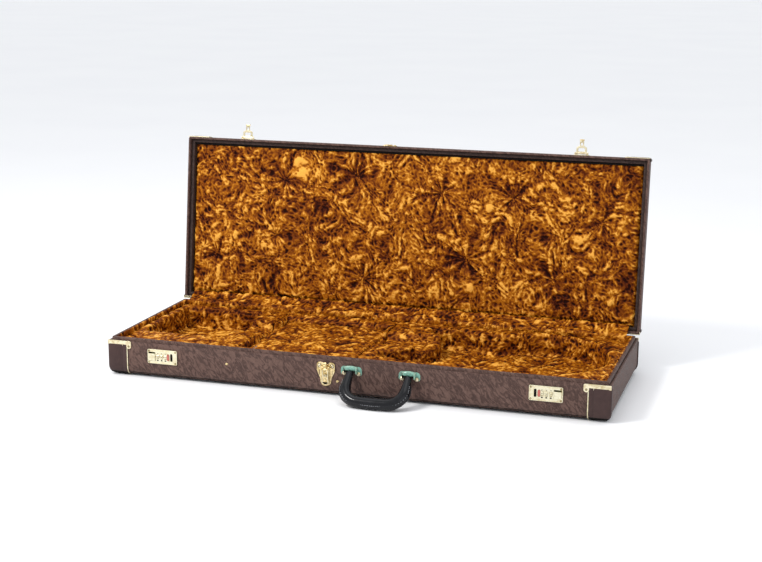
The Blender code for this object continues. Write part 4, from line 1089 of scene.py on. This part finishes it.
def make_lever():
    """The lever: a tongue with a crescent opening between two ribs, on the plate's pin."""
    top = LEVER_PIVOT.z
    base = LATCH_LOW.z + 0.0012
    half = [
        (0.0072, top, 0.0008),
        (0.0062, base + 0.0150, 0.0200),
        (0.0078, base + 0.0060, 0.0060),
        (0.0074, base, 0.0062),
    ]
    hole = circle(LATCH_X, BARREL.z, 0.0036, 24)
    crescent = mirrored(LATCH_X, [(0.0052, base + 0.0066, 0.0008), (0.0046, base + 0.0020, 0.0028)])
    behind = mirrored(LATCH_X, [(0.0056, base + 0.0070, 0.0010), (0.0050, base + 0.0014, 0.0028)])
    y = LEVER_PIVOT.y + 0.0012
    parts = [(plate([mirrored(LATCH_X, half), hole, crescent], y, 0.0016, 0.0004), GOLD)]
    # a black plate behind the crescent opening: painted shade seen through it
    parts.append((plate([behind], y + 0.0001, 0.0004, 0.0001), DARK_FINISH_AND_SHADE))
    for end in BOTH:
        rib = []
        for share in (0.0, 0.12, 0.3, 0.55, 0.8, 1.0):
            z = top - 0.0010 - share * (top - base - 0.0062)
            rib.append((LATCH_X + end * (0.0060 - 0.0010 * math.sin(math.pi * share)), y - 0.0017, z))
        parts.append((tube(rib, [0.0006, 0.0011, 0.0013, 0.0013, 0.0012, 0.0007], 12), BRASS))
        ear_x = LATCH_X + end * 0.0058
        low = (ear_x - 0.0009, HOOK_PIVOT.y - 0.0013, HOOK_PIVOT.z - 0.0015)
        parts.append((block(low, (ear_x + 0.0009, LEVER_PIVOT.y, HOOK_PIVOT.z + 0.0015), 0.0005), GOLD))
    angles = [math.pi + math.pi * k / 12 for k in range(13)]
    bowl = [
        (LATCH_X + 0.0062 * math.cos(a), y - 0.0014, base + 0.0066 + 0.0052 * math.sin(a)) for a in angles
    ]
    parts.append((tube(bowl, 0.0011, 10), BRASS))
    parts.append((pin(LEVER_PIVOT, 0.0022, 0.0074, 16, inner=0.0013), GOLD))
    for drop in (0.0070, 0.0225):
        spot = (LATCH_X, y - 0.0016, top - drop)
        parts.append((turned([(0.0012, -0.0001), (0.0012, 0.0001), (0.0, 0.0001)], spot, TO_FRONT, 14), DARK_FINISH_AND_SHADE))
    parts.append((pin(HOOK_PIVOT, 0.0007, 0.0060, 12), BRASS))
    settle(gather("latch_lever_brass", parts), "latch_lever", "brass", "latch_lever")


def make_key_barrel():
    """The round key barrel with its keyhole."""
    face = [
        (0.0, -0.0016),
        (0.0031, -0.0016),
        (0.0033, -0.0012),
        (0.0033, 0.0014),
        (0.0029, 0.0018),
        (0.0026, 0.0016),
        (0.0, 0.0016),
    ]
    key_low = (BARREL.x - 0.00045, BARREL.y - 0.00175, BARREL.z - 0.0018)
    key_high = (BARREL.x + 0.00045, BARREL.y - 0.0012, BARREL.z + 0.0010)
    spot = (BARREL.x, BARREL.y - 0.0016, BARREL.z + 0.0010)
    # the keyhole, its slot and round top, is painted black as shade
    parts = [
        (turned(face, BARREL, TO_FRONT, 28), BRASS),
        (block(key_low, key_high, 0.0001, 1), DARK_FINISH_AND_SHADE),
        (turned([(0.0008, 0.0), (0.0008, 0.00018), (0.0, 0.00018)], spot, TO_FRONT, 14), DARK_FINISH_AND_SHADE),
    ]
    settle(gather("key_barrel_brass", parts), "key_barrel", "brass", "key_barrel")


def make_hook():
    """The hook: a shank with a boss and a curled end, on the lever's upper pin."""
    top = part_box("latch_hook")[1].z - 0.0018
    y = HOOK_PIVOT.y
    shank = mirrored(LATCH_X, [(0.0040, HOOK_PIVOT.z, 0.0008), (0.0036, top, 0.0008)])
    boss = [(0.0029, 0.0), (0.0029, 0.0006), (0.0022, 0.0013), (0.0010, 0.0017), (0.0, 0.0018)]
    parts = [
        (plate([shank], y + 0.0008, 0.0016, 0.0004), GOLD),
        (pin(HOOK_PIVOT, 0.0016, 0.0043, 16, inner=0.0009), GOLD),
        (pin((LATCH_X, y - 0.0007, top), 0.0018, 0.0040, 20, chamfer=(0.0003, 0.0003)), GOLD),
        (turned(boss, (LATCH_X, y - 0.0007, HOOK_PIVOT.z + 0.0065), TO_FRONT, 20), GOLD),
    ]
    settle(gather("latch_hook_brass", parts), "latch_hook", "brass", "latch_hook")


# ---- handle --------------------------------------------------------------------------------------------
HANDLE_PIVOT = Vector(JOINTS["handle_hinge"]["pos_m"])
BRACKETS = {side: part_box(f"handle_bracket_{side}") for side in SIDES}
HANDLE_ENDS = {side: (low.x + high.x) / 2 for side, (low, high) in BRACKETS.items()}
HANDLE_DROP = 0.067
GRIP_RADIUS = 0.0115


def grip_path(steps):
    """The handle's middle line, hanging straight down, from the left pivot to the right one."""
    middle = (HANDLE_ENDS["left"] + HANDLE_ENDS["right"]) / 2
    half = (HANDLE_ENDS["right"] - HANDLE_ENDS["left"]) / 2
    bend = 0.032
    splay = 0.001
    right = [Vector((half + splay * share, 0.030 * share)) for share in (0.0, 0.2, 0.4, 0.6, 0.8, 1.0)]
    centre = Vector((half + splay - bend, HANDLE_DROP - bend))
    for step in range(steps + 1):
        angle = math.pi / 2 * step / steps
        right.append(centre + bend * Vector((math.cos(angle), math.sin(angle))))
    for x in (centre.x * 0.66, centre.x * 0.33, 0.0):
        right.append(Vector((x, HANDLE_DROP + 0.0006 * (1 - (x / centre.x) ** 2))))
    return [(middle - p.x, p.y) for p in right] + [(middle + p.x, p.y) for p in reversed(right[:-1])]


def make_handle():
    """A padded leather grip, sewn along its outer welt, on two pins under green brackets."""
    path = grip_path(10)
    points = [Vector((x - HANDLE_PIVOT.x, 0, -drop)) for x, drop in path]
    thin = 0.0052
    sizes = [thin + (GRIP_RADIUS - thin) * min(1.0, (drop / 0.040)) ** 0.8 for _, drop in path]
    grip = new_object("grip", tube(points, sizes, 28, False, 1.0, (0, 1, 0)))
    parts = [(finer(grip), HANDLE_SKIN)]
    welt = []
    sewn = []
    for here, size in zip(points[4:-4], sizes[4:-4]):
        out = Vector((here.x, 0, here.z + 0.030)).normalized()
        outward = Vector((out.x, 0, min(out.z, 0.25 if here.z > -0.03 else out.z))).normalized()
        welt.append(here + outward * (size * 0.985))
        sewn.append(here + outward * (size * 0.80) + Vector((0, -size * 0.62, 0)))
    parts.append((tube(welt, 0.0014, 8, False, 1.0, (0, 1, 0)), HANDLE_SKIN))
    parts.append((stitches(sewn, (0, -1, -0.5), 0.0034, 0.0024, 0.00040), THREAD_PALE))
    collar = [(0.0060, 0.0035), (0.0067, 0.0045), (0.0069, 0.0075), (0.0066, 0.0100), (0.0060, 0.0110)]
    collar = [(0.0, 0.0035), *collar, (0.0, 0.0110)]
    for side in SIDES:
        place = (HANDLE_ENDS[side] - HANDLE_PIVOT.x, 0, 0)
        parts.append((pin(place, 0.0020, 0.0118, 18, chamfer=(0.0003, 0.0006)), DARK_FINISH_AND_SHADE))
        parts.append((turned(collar, place, (0, 0, -1), 24), HANDLE_SKIN))
    turn = Matrix.Translation(HANDLE_PIVOT) @ Matrix.Rotation(-handle_tilt(), 4, "X")
    piece = gather("handle_grip_leather", parts, 60)
    settle(piece, "handle", "handle_leather", "handle_grip", turn=turn)
    for side in SIDES:
        make_bracket(side)


def handle_tilt():
    """How far the handle hangs out from the case, from the height of its pivot."""
    return math.acos((HANDLE_PIVOT.z - GRIP_RADIUS - 0.0003) / HANDLE_DROP)


def make_bracket(side):
    """A green arched bracket: a plate with drooping round ends, a hooded cover and two brass studs."""
    x = HANDLE_ENDS[side]
    y = HANDLE_PIVOT.y
    z = HANDLE_PIVOT.z
    half = [
        (0.0098, z + 0.0020, 0.0020),
        (0.0104, z - 0.0094, 0.0052),
        (0.0215, z - 0.0094, 0.0052),
        (0.0215, z + 0.0084, 0.0070),
    ]
    parts = [(plate([mirrored(x, half)], PLATE_BACK, 0.0018, 0.0007), VERDIGRIS)]
    hood = []
    reach = 0.0128
    steps = 14
    for k in range(steps + 1):
        u = -reach + 2 * reach * k / steps
        hood.append((x + u, y + 0.0010, z + 0.0056 - 0.0014 * abs(u / reach) ** 3))
    sizes = [0.0022 + 0.0013 * math.sin(math.pi * k / steps) ** 0.5 for k in range(steps + 1)]
    parts.append((tube(hood, sizes, 14, False, 1.5, (0, 0, 1)), VERDIGRIS))
    for end in BOTH:
        cheek_low = (x + end * 0.0104, y - 0.0034, z - 0.0046)
        cheek_high = (x + end * 0.0131, PLATE_BACK - 0.0006, z + 0.0072)
        parts.append((block(cheek_low, cheek_high, 0.0011), VERDIGRIS))
        stud = (x + end * 0.0148, PLATE_BACK - 0.0018, z - 0.0056)
        parts.append((rivet(stud, TO_FRONT, 0.0044, 0.0034), BRASS))
    piece = gather(f"handle_bracket_{side}_green", parts, 45)
    settle(piece, "tray", "painted_bracket", f"handle_bracket_{side}")


# ---- hinges and tacks -----------------------------------------------------------------------------------
def dress_hinges():
    """The three butt hinges keep their frame shapes, with a brass finish."""
    for name, node in frame["nodes"].items():
        if name.startswith("hinge_") and name.endswith("leaf"):
            node.data.materials.clear()
            node.data.materials.append(BRASS)


def make_tacks():
    """Two small brass tacks in the front, near the latch."""
    parts = []
    for x, z in ((LATCH_X + 0.0230, BASE + 0.0285), (LATCH_X - 0.2100, BASE + 0.0425)):
        parts.append((rivet((x, FRONT, z), TO_FRONT, 0.0024, 0.0010), GOLD))
        low = (x + 0.0006, FRONT - 0.0013, z + 0.0006)
        parts.append((block(low, (x + 0.0042, FRONT - 0.0002, z + 0.0016), 0.0003), GOLD))
    settle(gather("front_tacks", parts), "tray", "brass")


# ---- plush ----------------------------------------------------------------------------------------------
def ridged(p):
    """Noise with sharp bright crests: 1 on a crest, falling to about -1 between crests."""
    return 1 - 3.6 * abs(noise.noise(p))


def crush(points, stars, seed):
    """Heights (metres) and pile brightness of crushed velour at points, gathered to folds at the stars; the
    brightness is mostly painted light and shade, with some random tone.

    Points are (u, v, w): u and v along the cloth, w across it."""
    heights = np.zeros(len(points))
    pile = np.zeros(len(points))
    shift = Vector((seed * 3.1, seed * 1.7, seed * 2.3))
    for i, p in enumerate(points):
        p = Vector(p)
        q = p * 20 + shift
        warp = Vector((noise.noise(q), noise.noise(q + Vector((5.2, 1.3, 8.1))), 0.0))
        patches = noise.noise(p * 17 + warp * 0.8 - shift)
        folds = 0.0
        gathered = 0.0
        for u, v, reach, count in stars:
            du = p.x - u
            dv = p.y - v
            distance = math.hypot(du, dv)
            if distance > 2.6 * reach:
                continue
            fall = math.exp(-((distance / reach) ** 2))
            angle = math.atan2(dv, du)
            swirl = 0.9 * noise.noise(Vector((du * 22, dv * 22, u * 9 + seed)))
            turn = Vector((math.cos(angle), math.sin(angle), 0.0)) * (count * 0.17)
            ray = ridged(Vector((turn.x, turn.y, distance * 7 + u * 7)) + Vector((swirl, swirl, 0.0)))
            folds += fall ** 0.6 * ray
            gathered += fall * fall
        gathered = min(1.0, gathered)
        folds = min(0.8, folds)
        calm = 1 - 0.55 * gathered
        large = ridged(p * 27 + warp * 1.7 + shift)
        middle = 1 - ridged(p * 66 + warp * 2.0 + shift)
        small = ridged(p * 140 + warp * 1.8 - shift)
        heights[i] = 0.0009 * large + calm * (0.0013 * middle + 0.0009 * small) + 0.0020 * folds
        heights[i] -= 0.0035 * gathered
        # painted light and shade: crests and the tufts' rays painted bright, gathered tuft centres painted
        # dark; the patches add random tone
        pile[i] = 0.33 + 0.11 * large + calm * (0.17 * middle + 0.21 * small)
        pile[i] += 0.40 * max(folds, 0.3 * folds) - 0.12 * gathered + 0.12 * patches
    return heights, pile


def store_pile(mesh, pile):
    """Keeps the pile's painted light and shade on the mesh, for the plush material."""
    attribute = mesh.attributes.new("pile", "FLOAT", "POINT")
    attribute.data.foreach_set("value", np.clip(pile, 0, 1).astype(np.float32))


def plush_finish(obj, stars, seed, limits, to_cloth=None):
    """Presses the crushed folds into a plush mesh along its normals.

    limits(point, normal) gives the lowest and highest push and the share of it that is used."""
    mesh = obj.data
    mesh.update()
    places = [v.co.copy() for v in mesh.vertices]
    normals = [v.normal.copy() for v in mesh.vertices]
    cloth = [to_cloth(p) if to_cloth else p for p in places]
    heights, pile = crush(cloth, stars, seed)
    for vertex, p, n, h in zip(mesh.vertices, places, normals, heights):
        low, high, share = limits(p, n)
        vertex.co = p + n * max(low, min(high, h)) * share
    store_pile(mesh, pile)
    mesh.shade_smooth()
    mesh.update()


def make_lid_plush():
    """The lid's upholstered panel, one crushed sheet over thin foam, tucked in at its edges."""
    inset = 0.0126
    half_x = HALF_X - inset
    half_y = HALF_Y - inset
    z_face = LID_RIM + 0.0150
    z_back = LID_TOP - WALL - 0.0003
    pitch = 0.0021
    cols = int(2 * half_x / pitch)
    rows = int(2 * half_y / pitch)
    bm = bmesh.new()
    grid = []
    for j in range(rows + 1):
        v = -half_y + 2 * half_y * j / rows
        line = []
        for i in range(cols + 1):
            u = -half_x + 2 * half_x * i / cols
            edge = min(half_x - abs(u), half_y - abs(v))
            tuck = 0.0060 * math.exp(-edge / 0.0045)
            crown = 0.0012 * math.cos(u / half_x * math.pi / 2) * math.cos(v / half_y * math.pi / 2)
            line.append(bm.verts.new((u, MID_Y + v, z_face + tuck - crown)))
        grid.append(line)
    for j in range(rows):
        for i in range(cols):
            bm.faces.new((grid[j][i], grid[j + 1][i], grid[j + 1][i + 1], grid[j][i + 1]))
    border = grid[0] + [r[-1] for r in grid[1:]] + grid[-1][-2::-1] + [r[0] for r in grid[-2:0:-1]]
    back = [bm.verts.new((v.co.x, v.co.y, z_back)) for v in border]
    count = len(border)
    for i in range(count):
        j = (i + 1) % count
        bm.faces.new((border[i], border[j], back[j], back[i]))
    bm.faces.new(list(reversed(back)))
    bmesh.ops.recalc_face_normals(bm, faces=bm.faces)
    panel = new_object("lid_plush", bm, PLUSH)
    stars = lid_stars(half_x, half_y)

    def limits(p, n):
        if p.z > z_back - 0.0005:
            return (0, 0, 0)
        edge = min(half_x - abs(p.x), half_y - abs(p.y - MID_Y))
        return (-0.004, 0.0045, min(1.0, 0.15 + edge / 0.008))

    plush_finish(panel, stars, 3, limits, lambda p: (p.x, p.y - MID_Y, 0.0))
    settle(panel, "lid", "plush", "lid_plush_panel", turn=LID_OPEN)


def lid_stars(half_x, half_y):
    """Where the lid's cloth is gathered: two rows of tufts, as (u, v, reach, rays)."""
    # u runs along the case and v from the hinge (+) to the front (-), as shares of the panel's halves
    tufts = [
        (-0.57, -0.56, 0.044, 17),
        (-0.24, -0.66, 0.038, 15),
        (-0.88, 0.47, 0.036, 16),
        (-0.19, 0.65, 0.046, 19),
        (0.27, 0.31, 0.040, 16),
        (0.65, 0.50, 0.042, 18),
        (0.15, -0.51, 0.036, 17),
        (0.46, -0.50, 0.040, 16),
        (0.84, -0.25, 0.034, 15),
        (-0.60, 0.16, 0.026, 15),
    ]
    return [(u * half_x, v * half_y, reach, rays) for u, v, reach, rays in tufts]


def remeshed(name, bm, voxel):
    """A closed padding block with softened edges, made even by a voxel remesh."""
    obj = new_object(name, bm)
    even = obj.modifiers.new("even", "REMESH")
    even.mode = "VOXEL"
    even.voxel_size = voxel
    soft = obj.modifiers.new("soft", "SMOOTH")
    soft.factor = 0.5
    soft.iterations = 4
    return new_object(name, evaluated(obj), PLUSH)


def puff(obj, held, cap):
    """Swells a pad with a short cloth simulation; held(point) is 1 where it is glued, cap limits travel."""
    frames = 20
    rest = [v.co.copy() for v in obj.data.vertices]
    group = obj.vertex_groups.new(name="glued")
    for v in obj.data.vertices:
        group.add([v.index], held(v.co), "REPLACE")
    cloth = obj.modifiers.new("cloth", "CLOTH")
    cloth.settings.quality = 4
    cloth.settings.mass = 0.2
    cloth.settings.tension_stiffness = 12
    cloth.settings.compression_stiffness = 6
    cloth.settings.shear_stiffness = 4
    cloth.settings.bending_stiffness = 0.4
    cloth.settings.use_pressure = True
    cloth.settings.uniform_pressure_force = 4
    cloth.settings.vertex_group_mass = "glued"
    cloth.settings.effector_weights.gravity = 0
    cloth.collision_settings.use_self_collision = False
    cloth.collision_settings.use_collision = False
    cloth.point_cache.frame_end = frames
    scene = bpy.context.scene
    for number in range(1, frames + 1):
        scene.frame_set(number)
    graph = bpy.context.evaluated_depsgraph_get()
    swollen = [v.co.copy() for v in obj.evaluated_get(graph).data.vertices]
    obj.modifiers.remove(cloth)
    scene.frame_set(1)
    for vertex, before, after in zip(obj.data.vertices, rest, swollen):
        travel = after - before
        if travel.length > cap:
            travel *= cap / travel.length
        vertex.co = before + travel


def finer(obj):
    """Adds one level of subdivision to an object."""
    levels = obj.modifiers.new("finer", "SUBSURF")
    levels.levels = 1
    levels.render_levels = 1
    return obj


def pad_limits(node):
    """Full folds on the faces that show, none underneath, and none outwards at the block's own sides."""
    low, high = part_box(node)

    def limits(p, n):
        if p.z < low.z + 0.004 or n.z < -0.6:
            return (0, 0, 0)
        side = min(p.x - low.x, high.x - p.x, p.y - low.y, high.y - p.y)
        if side < 0.0035:
            return (-0.003, 0.0, 0.5 if n.z > 0.3 else 0.0)
        return (-0.0045, 0.0034, min(1.0, 0.25 + side / 0.012))

    return limits


def make_pad(node, name, body, seed, stars, cap):
    """One upholstered block of the tray: the frame's block, swollen, divided and crushed."""
    bm = bmesh.new()
    bm.from_mesh(frame["nodes"][node].data)
    low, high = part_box(node)
    voxel = 0.0042
    pad = remeshed(name, bm, voxel)

    def held(p):
        outside = min(p.x - low.x, high.x - p.x, p.y - low.y, high.y - p.y) < 0.004
        return 1.0 if outside or p.z < low.z + 0.006 else 0.0

    puff(pad, held, cap)
    pad = new_object(name, evaluated(finer(pad)), PLUSH)
    plush_finish(pad, stars, seed, pad_limits(node))
    settle(pad, body, "plush", node)


def make_tray_plush():
    """The tray's upholstered blocks, with their tufts placed from the case's middle line."""
    mid = MID_Y
    body_stars = [
        (0.060, mid + 0.145, 0.030, 12),
        (0.215, mid + 0.010, 0.050, 17),
        (0.385, mid - 0.040, 0.048, 16),
        (0.330, mid + 0.085, 0.040, 14),
        (0.475, mid - 0.140, 0.035, 13),
        (0.150, mid - 0.150, 0.034, 12),
    ]
    head_stars = [
        (-0.400, mid + 0.030, 0.045, 15),
        (-0.285, mid - 0.110, 0.040, 14),
        (-0.470, mid - 0.130, 0.034, 12),
    ]
    box_stars = [(-0.125, mid - 0.155, 0.028, 12)]
    flap_stars = [
        (-0.180, mid - 0.010, 0.045, 15),
        (-0.070, mid + 0.060, 0.040, 14),
        (-0.075, mid - 0.085, 0.036, 13),
    ]
    make_pad("body_padding", "body_plush", "tray", 5, body_stars, 0.0030)
    make_pad("head_padding", "head_plush", "tray", 9, head_stars, 0.0030)
    make_pad("accessory_box", "accessory_box_plush", "tray", 12, box_stars, 0.0020)
    make_pad("accessory_lid", "accessory_lid_plush", "accessory_lid", 15, flap_stars, 0.0020)


def make_tray_lining():
    """The plush that lines the inner face of the tray's raised board, all the way round."""
    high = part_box("tray_liner_board")[1]
    near = HALF_X - high.x + 0.0058
    far = near + 0.0030
    bottom = PADDING_TOP - 0.0040
    top = high.z - 0.0008
    inner = [(far, top - 0.0014 - (top - 0.0014 - bottom) * step / 5) for step in range(6)]
    outer = [(near, bottom), (near, top - 0.0010), (near + 0.0012, top), (far - 0.0010, top - 0.0002)]
    pitch = 0.0030
    cuts = (int(2 * HALF_X / pitch), int(2 * HALF_Y / pitch))
    ring = carried([*outer, *inner], HALF_X, HALF_Y, 0.004, (False, False), True, cuts)
    lining = new_object("tray_lining_plush", ring, PLUSH)

    def limits(p, n):
        return (-0.0010, 0.0012, 1.0 if p.z > bottom + 0.0005 else 0.0)

    plush_finish(lining, [], 31, limits, lambda p: (p.x + 1.3 * p.y, p.z, 0.0))
    settle(lining, "tray", "plush")


def make_tab():
    """The leather pull tab sewn to the accessory lid."""
    low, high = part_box("pull_tab")
    u = (low.x + high.x) / 2
    half = (high.x - low.x) / 2
    thick = high.z - low.z
    outline = mirrored(u, [(half, 0, 0.0010), (half, high.y - low.y, half * 0.98)], 8)
    tab = plate([outline], thick / 2, thick, 0.0006)
    place = Matrix.Translation((0, high.y, (low.z + high.z) / 2))
    tab.transform(place @ Matrix.Rotation(math.pi / 2, 4, "X"))
    shift = high.y - max(v.co.y for v in tab.verts)
    bmesh.ops.translate(tab, vec=(0, shift, 0), verts=tab.verts)
    bmesh.ops.recalc_face_normals(tab, faces=tab.faces)
    inset = 0.0017
    left = u - half + inset
    right = u + half - inset
    near = low.y + half
    far = high.y - inset
    line = [(left, near, high.z), (left, far, high.z), (right, far, high.z), (right, near, high.z)]
    sewn = stitches(line, (0, 0, 1), 0.0028, 0.0019, 0.00026)
    piece = gather("pull_tab_leather", [(tab, TAB_SKIN), (sewn, THREAD)], 40)
    settle(piece, "accessory_lid", "tab_leather", "pull_tab")


def make_hinge_flap():
    """The plush strip that hides the hinges: glued down the tray's rear board and up into the lid."""
    board_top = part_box("tray_liner_board")[1].z
    rear = REAR
    side = [
        Vector((0, rear - 0.0136, PADDING_TOP + 0.0006)),
        Vector((0, rear - 0.0134, board_top - 0.0030)),
        Vector((0, rear - 0.0112, board_top + 0.0022)),
        Vector((0, rear - 0.0050, board_top + 0.0034)),
        HINGE + Vector((0, 0.0020, 0.0140)),
        HINGE + Vector((0, 0.0092, 0.0192)),
        HINGE + Vector((0, 0.0150, 0.0196)),
        HINGE + Vector((0, 0.0166, 0.0182)),
    ]
    for p in side:
        p.x = 0
    lengths = [0.0]
    for a, b in zip(side, side[1:]):
        lengths.append(lengths[-1] + (b - a).length)
    rows = 26
    cols = 470
    half_x = 0.490
    path = []
    for j in range(rows + 1):
        s = lengths[-1] * j / rows
        k = max(i for i in range(len(side) - 1) if lengths[i] <= s + 1e-9)
        t = (s - lengths[k]) / (lengths[k + 1] - lengths[k])
        before = side[max(k - 1, 0)]
        after = side[min(k + 2, len(side) - 1)]
        a, b = side[k], side[k + 1]
        smooth = 0.5 * (
            2 * a
            + (b - before) * t
            + (2 * before - 5 * a + 4 * b - after) * t * t
            + (3 * a - before - 3 * b + after) * t ** 3
        )
        path.append((s, smooth))
    bm = bmesh.new()
    grid = []
    cloth = []
    for s, p in path:
        line = []
        for i in range(cols + 1):
            x = -half_x + 2 * half_x * i / cols
            line.append(bm.verts.new((x, p.y, p.z)))
            cloth.append((x, s + 0.4, 0.0))
        grid.append(line)
    for j in range(rows):
        for i in range(cols):
            bm.faces.new((grid[j][i], grid[j][i + 1], grid[j + 1][i + 1], grid[j + 1][i]))
    bmesh.ops.recalc_face_normals(bm, faces=bm.faces)
    bm.normal_update()
    if sum(f.normal.z for f in bm.faces) < 0:
        bmesh.ops.reverse_faces(bm, faces=bm.faces[:])
    sheet = new_object("hinge_flap_sheet", bm)
    mesh = sheet.data
    stars = [(x, 0.415, 0.018, 9) for x in (-0.40, -0.27, -0.13, 0.02, 0.16, 0.29, 0.42)]
    heights, pile = crush(cloth, stars, 21)
    normals = [v.normal.copy() for v in mesh.vertices]
    for i, v in enumerate(mesh.vertices):
        row = i // (cols + 1)
        hem = min(1.0, min(row, rows - row) / 3)
        v.co += normals[i] * (0.0006 + max(-0.0004, 0.7 * heights[i])) * hem
    store_pile(mesh, pile)
    shell = sheet.modifiers.new("cloth", "SOLIDIFY")
    shell.thickness = 0.0009
    shell.offset = -1
    flap = new_object("hinge_flap", evaluated(sheet), PLUSH)
    flap.data.shade_smooth()
    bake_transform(flap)
    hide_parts("hinge_lining_tray", "hinge_lining_lid")


# ---- the setting ----------------------------------------------------------------------------------------
def make_floor():
    bm = bmesh.new()
    bmesh.ops.create_grid(bm, x_segments=2, y_segments=2, size=60)
    floor = new_object("floor", bm, pale_floor())


def pale_floor():
    s = Surface("pale_floor", 0.65)
    cloud = s.grain(1.5, 3, 0.5)
    return s.finish(s.ramp(cloud, (0.3, (0.90, 0.905, 0.925)), (0.7, (0.92, 0.925, 0.94))))


def area_light(name, place, target, size, energy, colour):
    """A rectangular light aimed at a target."""
    data = bpy.data.lights.new(name, "AREA")
    data.shape = "RECTANGLE"
    data.size, data.size_y = size
    data.energy = energy
    data.color = colour
    light = bpy.data.objects.new(name, data)
    bpy.context.scene.collection.objects.link(light)
    light.location = place
    light.rotation_euler = (Vector(target) - Vector(place)).to_track_quat("-Z", "Y").to_euler()


def make_lights():
    """A pale studio: an even surround, a key light from the left and two weak fills."""
    world = bpy.data.worlds.new("studio")
    bpy.context.scene.world = world
    world.use_nodes = True
    world.node_tree.nodes["Background"].inputs["Color"].default_value = (0.965, 0.98, 1.0, 1.0)
    world.node_tree.nodes["Background"].inputs["Strength"].default_value = 0.97
    bpy.context.scene.view_settings.view_transform = "Standard"
    middle = (0.0, 0.0, 0.15)
    area_light("key", (-1.3, -1.5, 2.2), middle, (0.7, 0.55), 46, (1.0, 0.98, 0.95))
    area_light("fill", (2.2, -2.0, 1.5), middle, (1.6, 1.2), 4, (0.92, 0.96, 1.0))
    area_light("top", (0.1, 0.1, 2.6), middle, (2.2, 1.2), 10, (1.0, 1.0, 1.0))


def make_camera():
    """The photograph's camera: right of the case's middle and above it, looking down at it."""
    data = bpy.data.cameras.new("camera")
    data.lens = 70.25
    data.sensor_width = 36
    camera = bpy.data.objects.new("camera", data)
    bpy.context.scene.collection.objects.link(camera)
    yaw = math.radians(-17.245)
    pitch = math.radians(12.716)
    roll = math.radians(0.427)
    forward = Vector((math.sin(yaw) * math.cos(pitch), math.cos(yaw) * math.cos(pitch), -math.sin(pitch)))
    level = Vector((math.cos(yaw), -math.sin(yaw), 0))
    upward = level.cross(forward)
    right = level * math.cos(roll) + upward * math.sin(roll)
    upward = upward * math.cos(roll) - level * math.sin(roll)
    turn = Matrix((right, upward, -forward)).transposed().to_4x4()
    camera.matrix_world = Matrix.Translation((0.8839, -2.8103 + MID_Y, 0.8591)) @ turn
    bpy.context.scene.camera = camera


make_camera()
for part in HALVES:
    make_shell(part)
make_boards()
for part in HALVES:
    for x_side in SIDES:
        for y_side in ENDS:
            make_patch(part, y_side, x_side)
            make_trim(part, y_side, x_side)
for side in SIDES:
    make_lock(side)
    make_hasp(side)
make_catch()
make_latch()
make_handle()
dress_hinges()
make_tacks()
make_lid_plush()
make_tray_plush()
make_tray_lining()
make_tab()
make_hinge_flap()
make_floor()
make_lights()
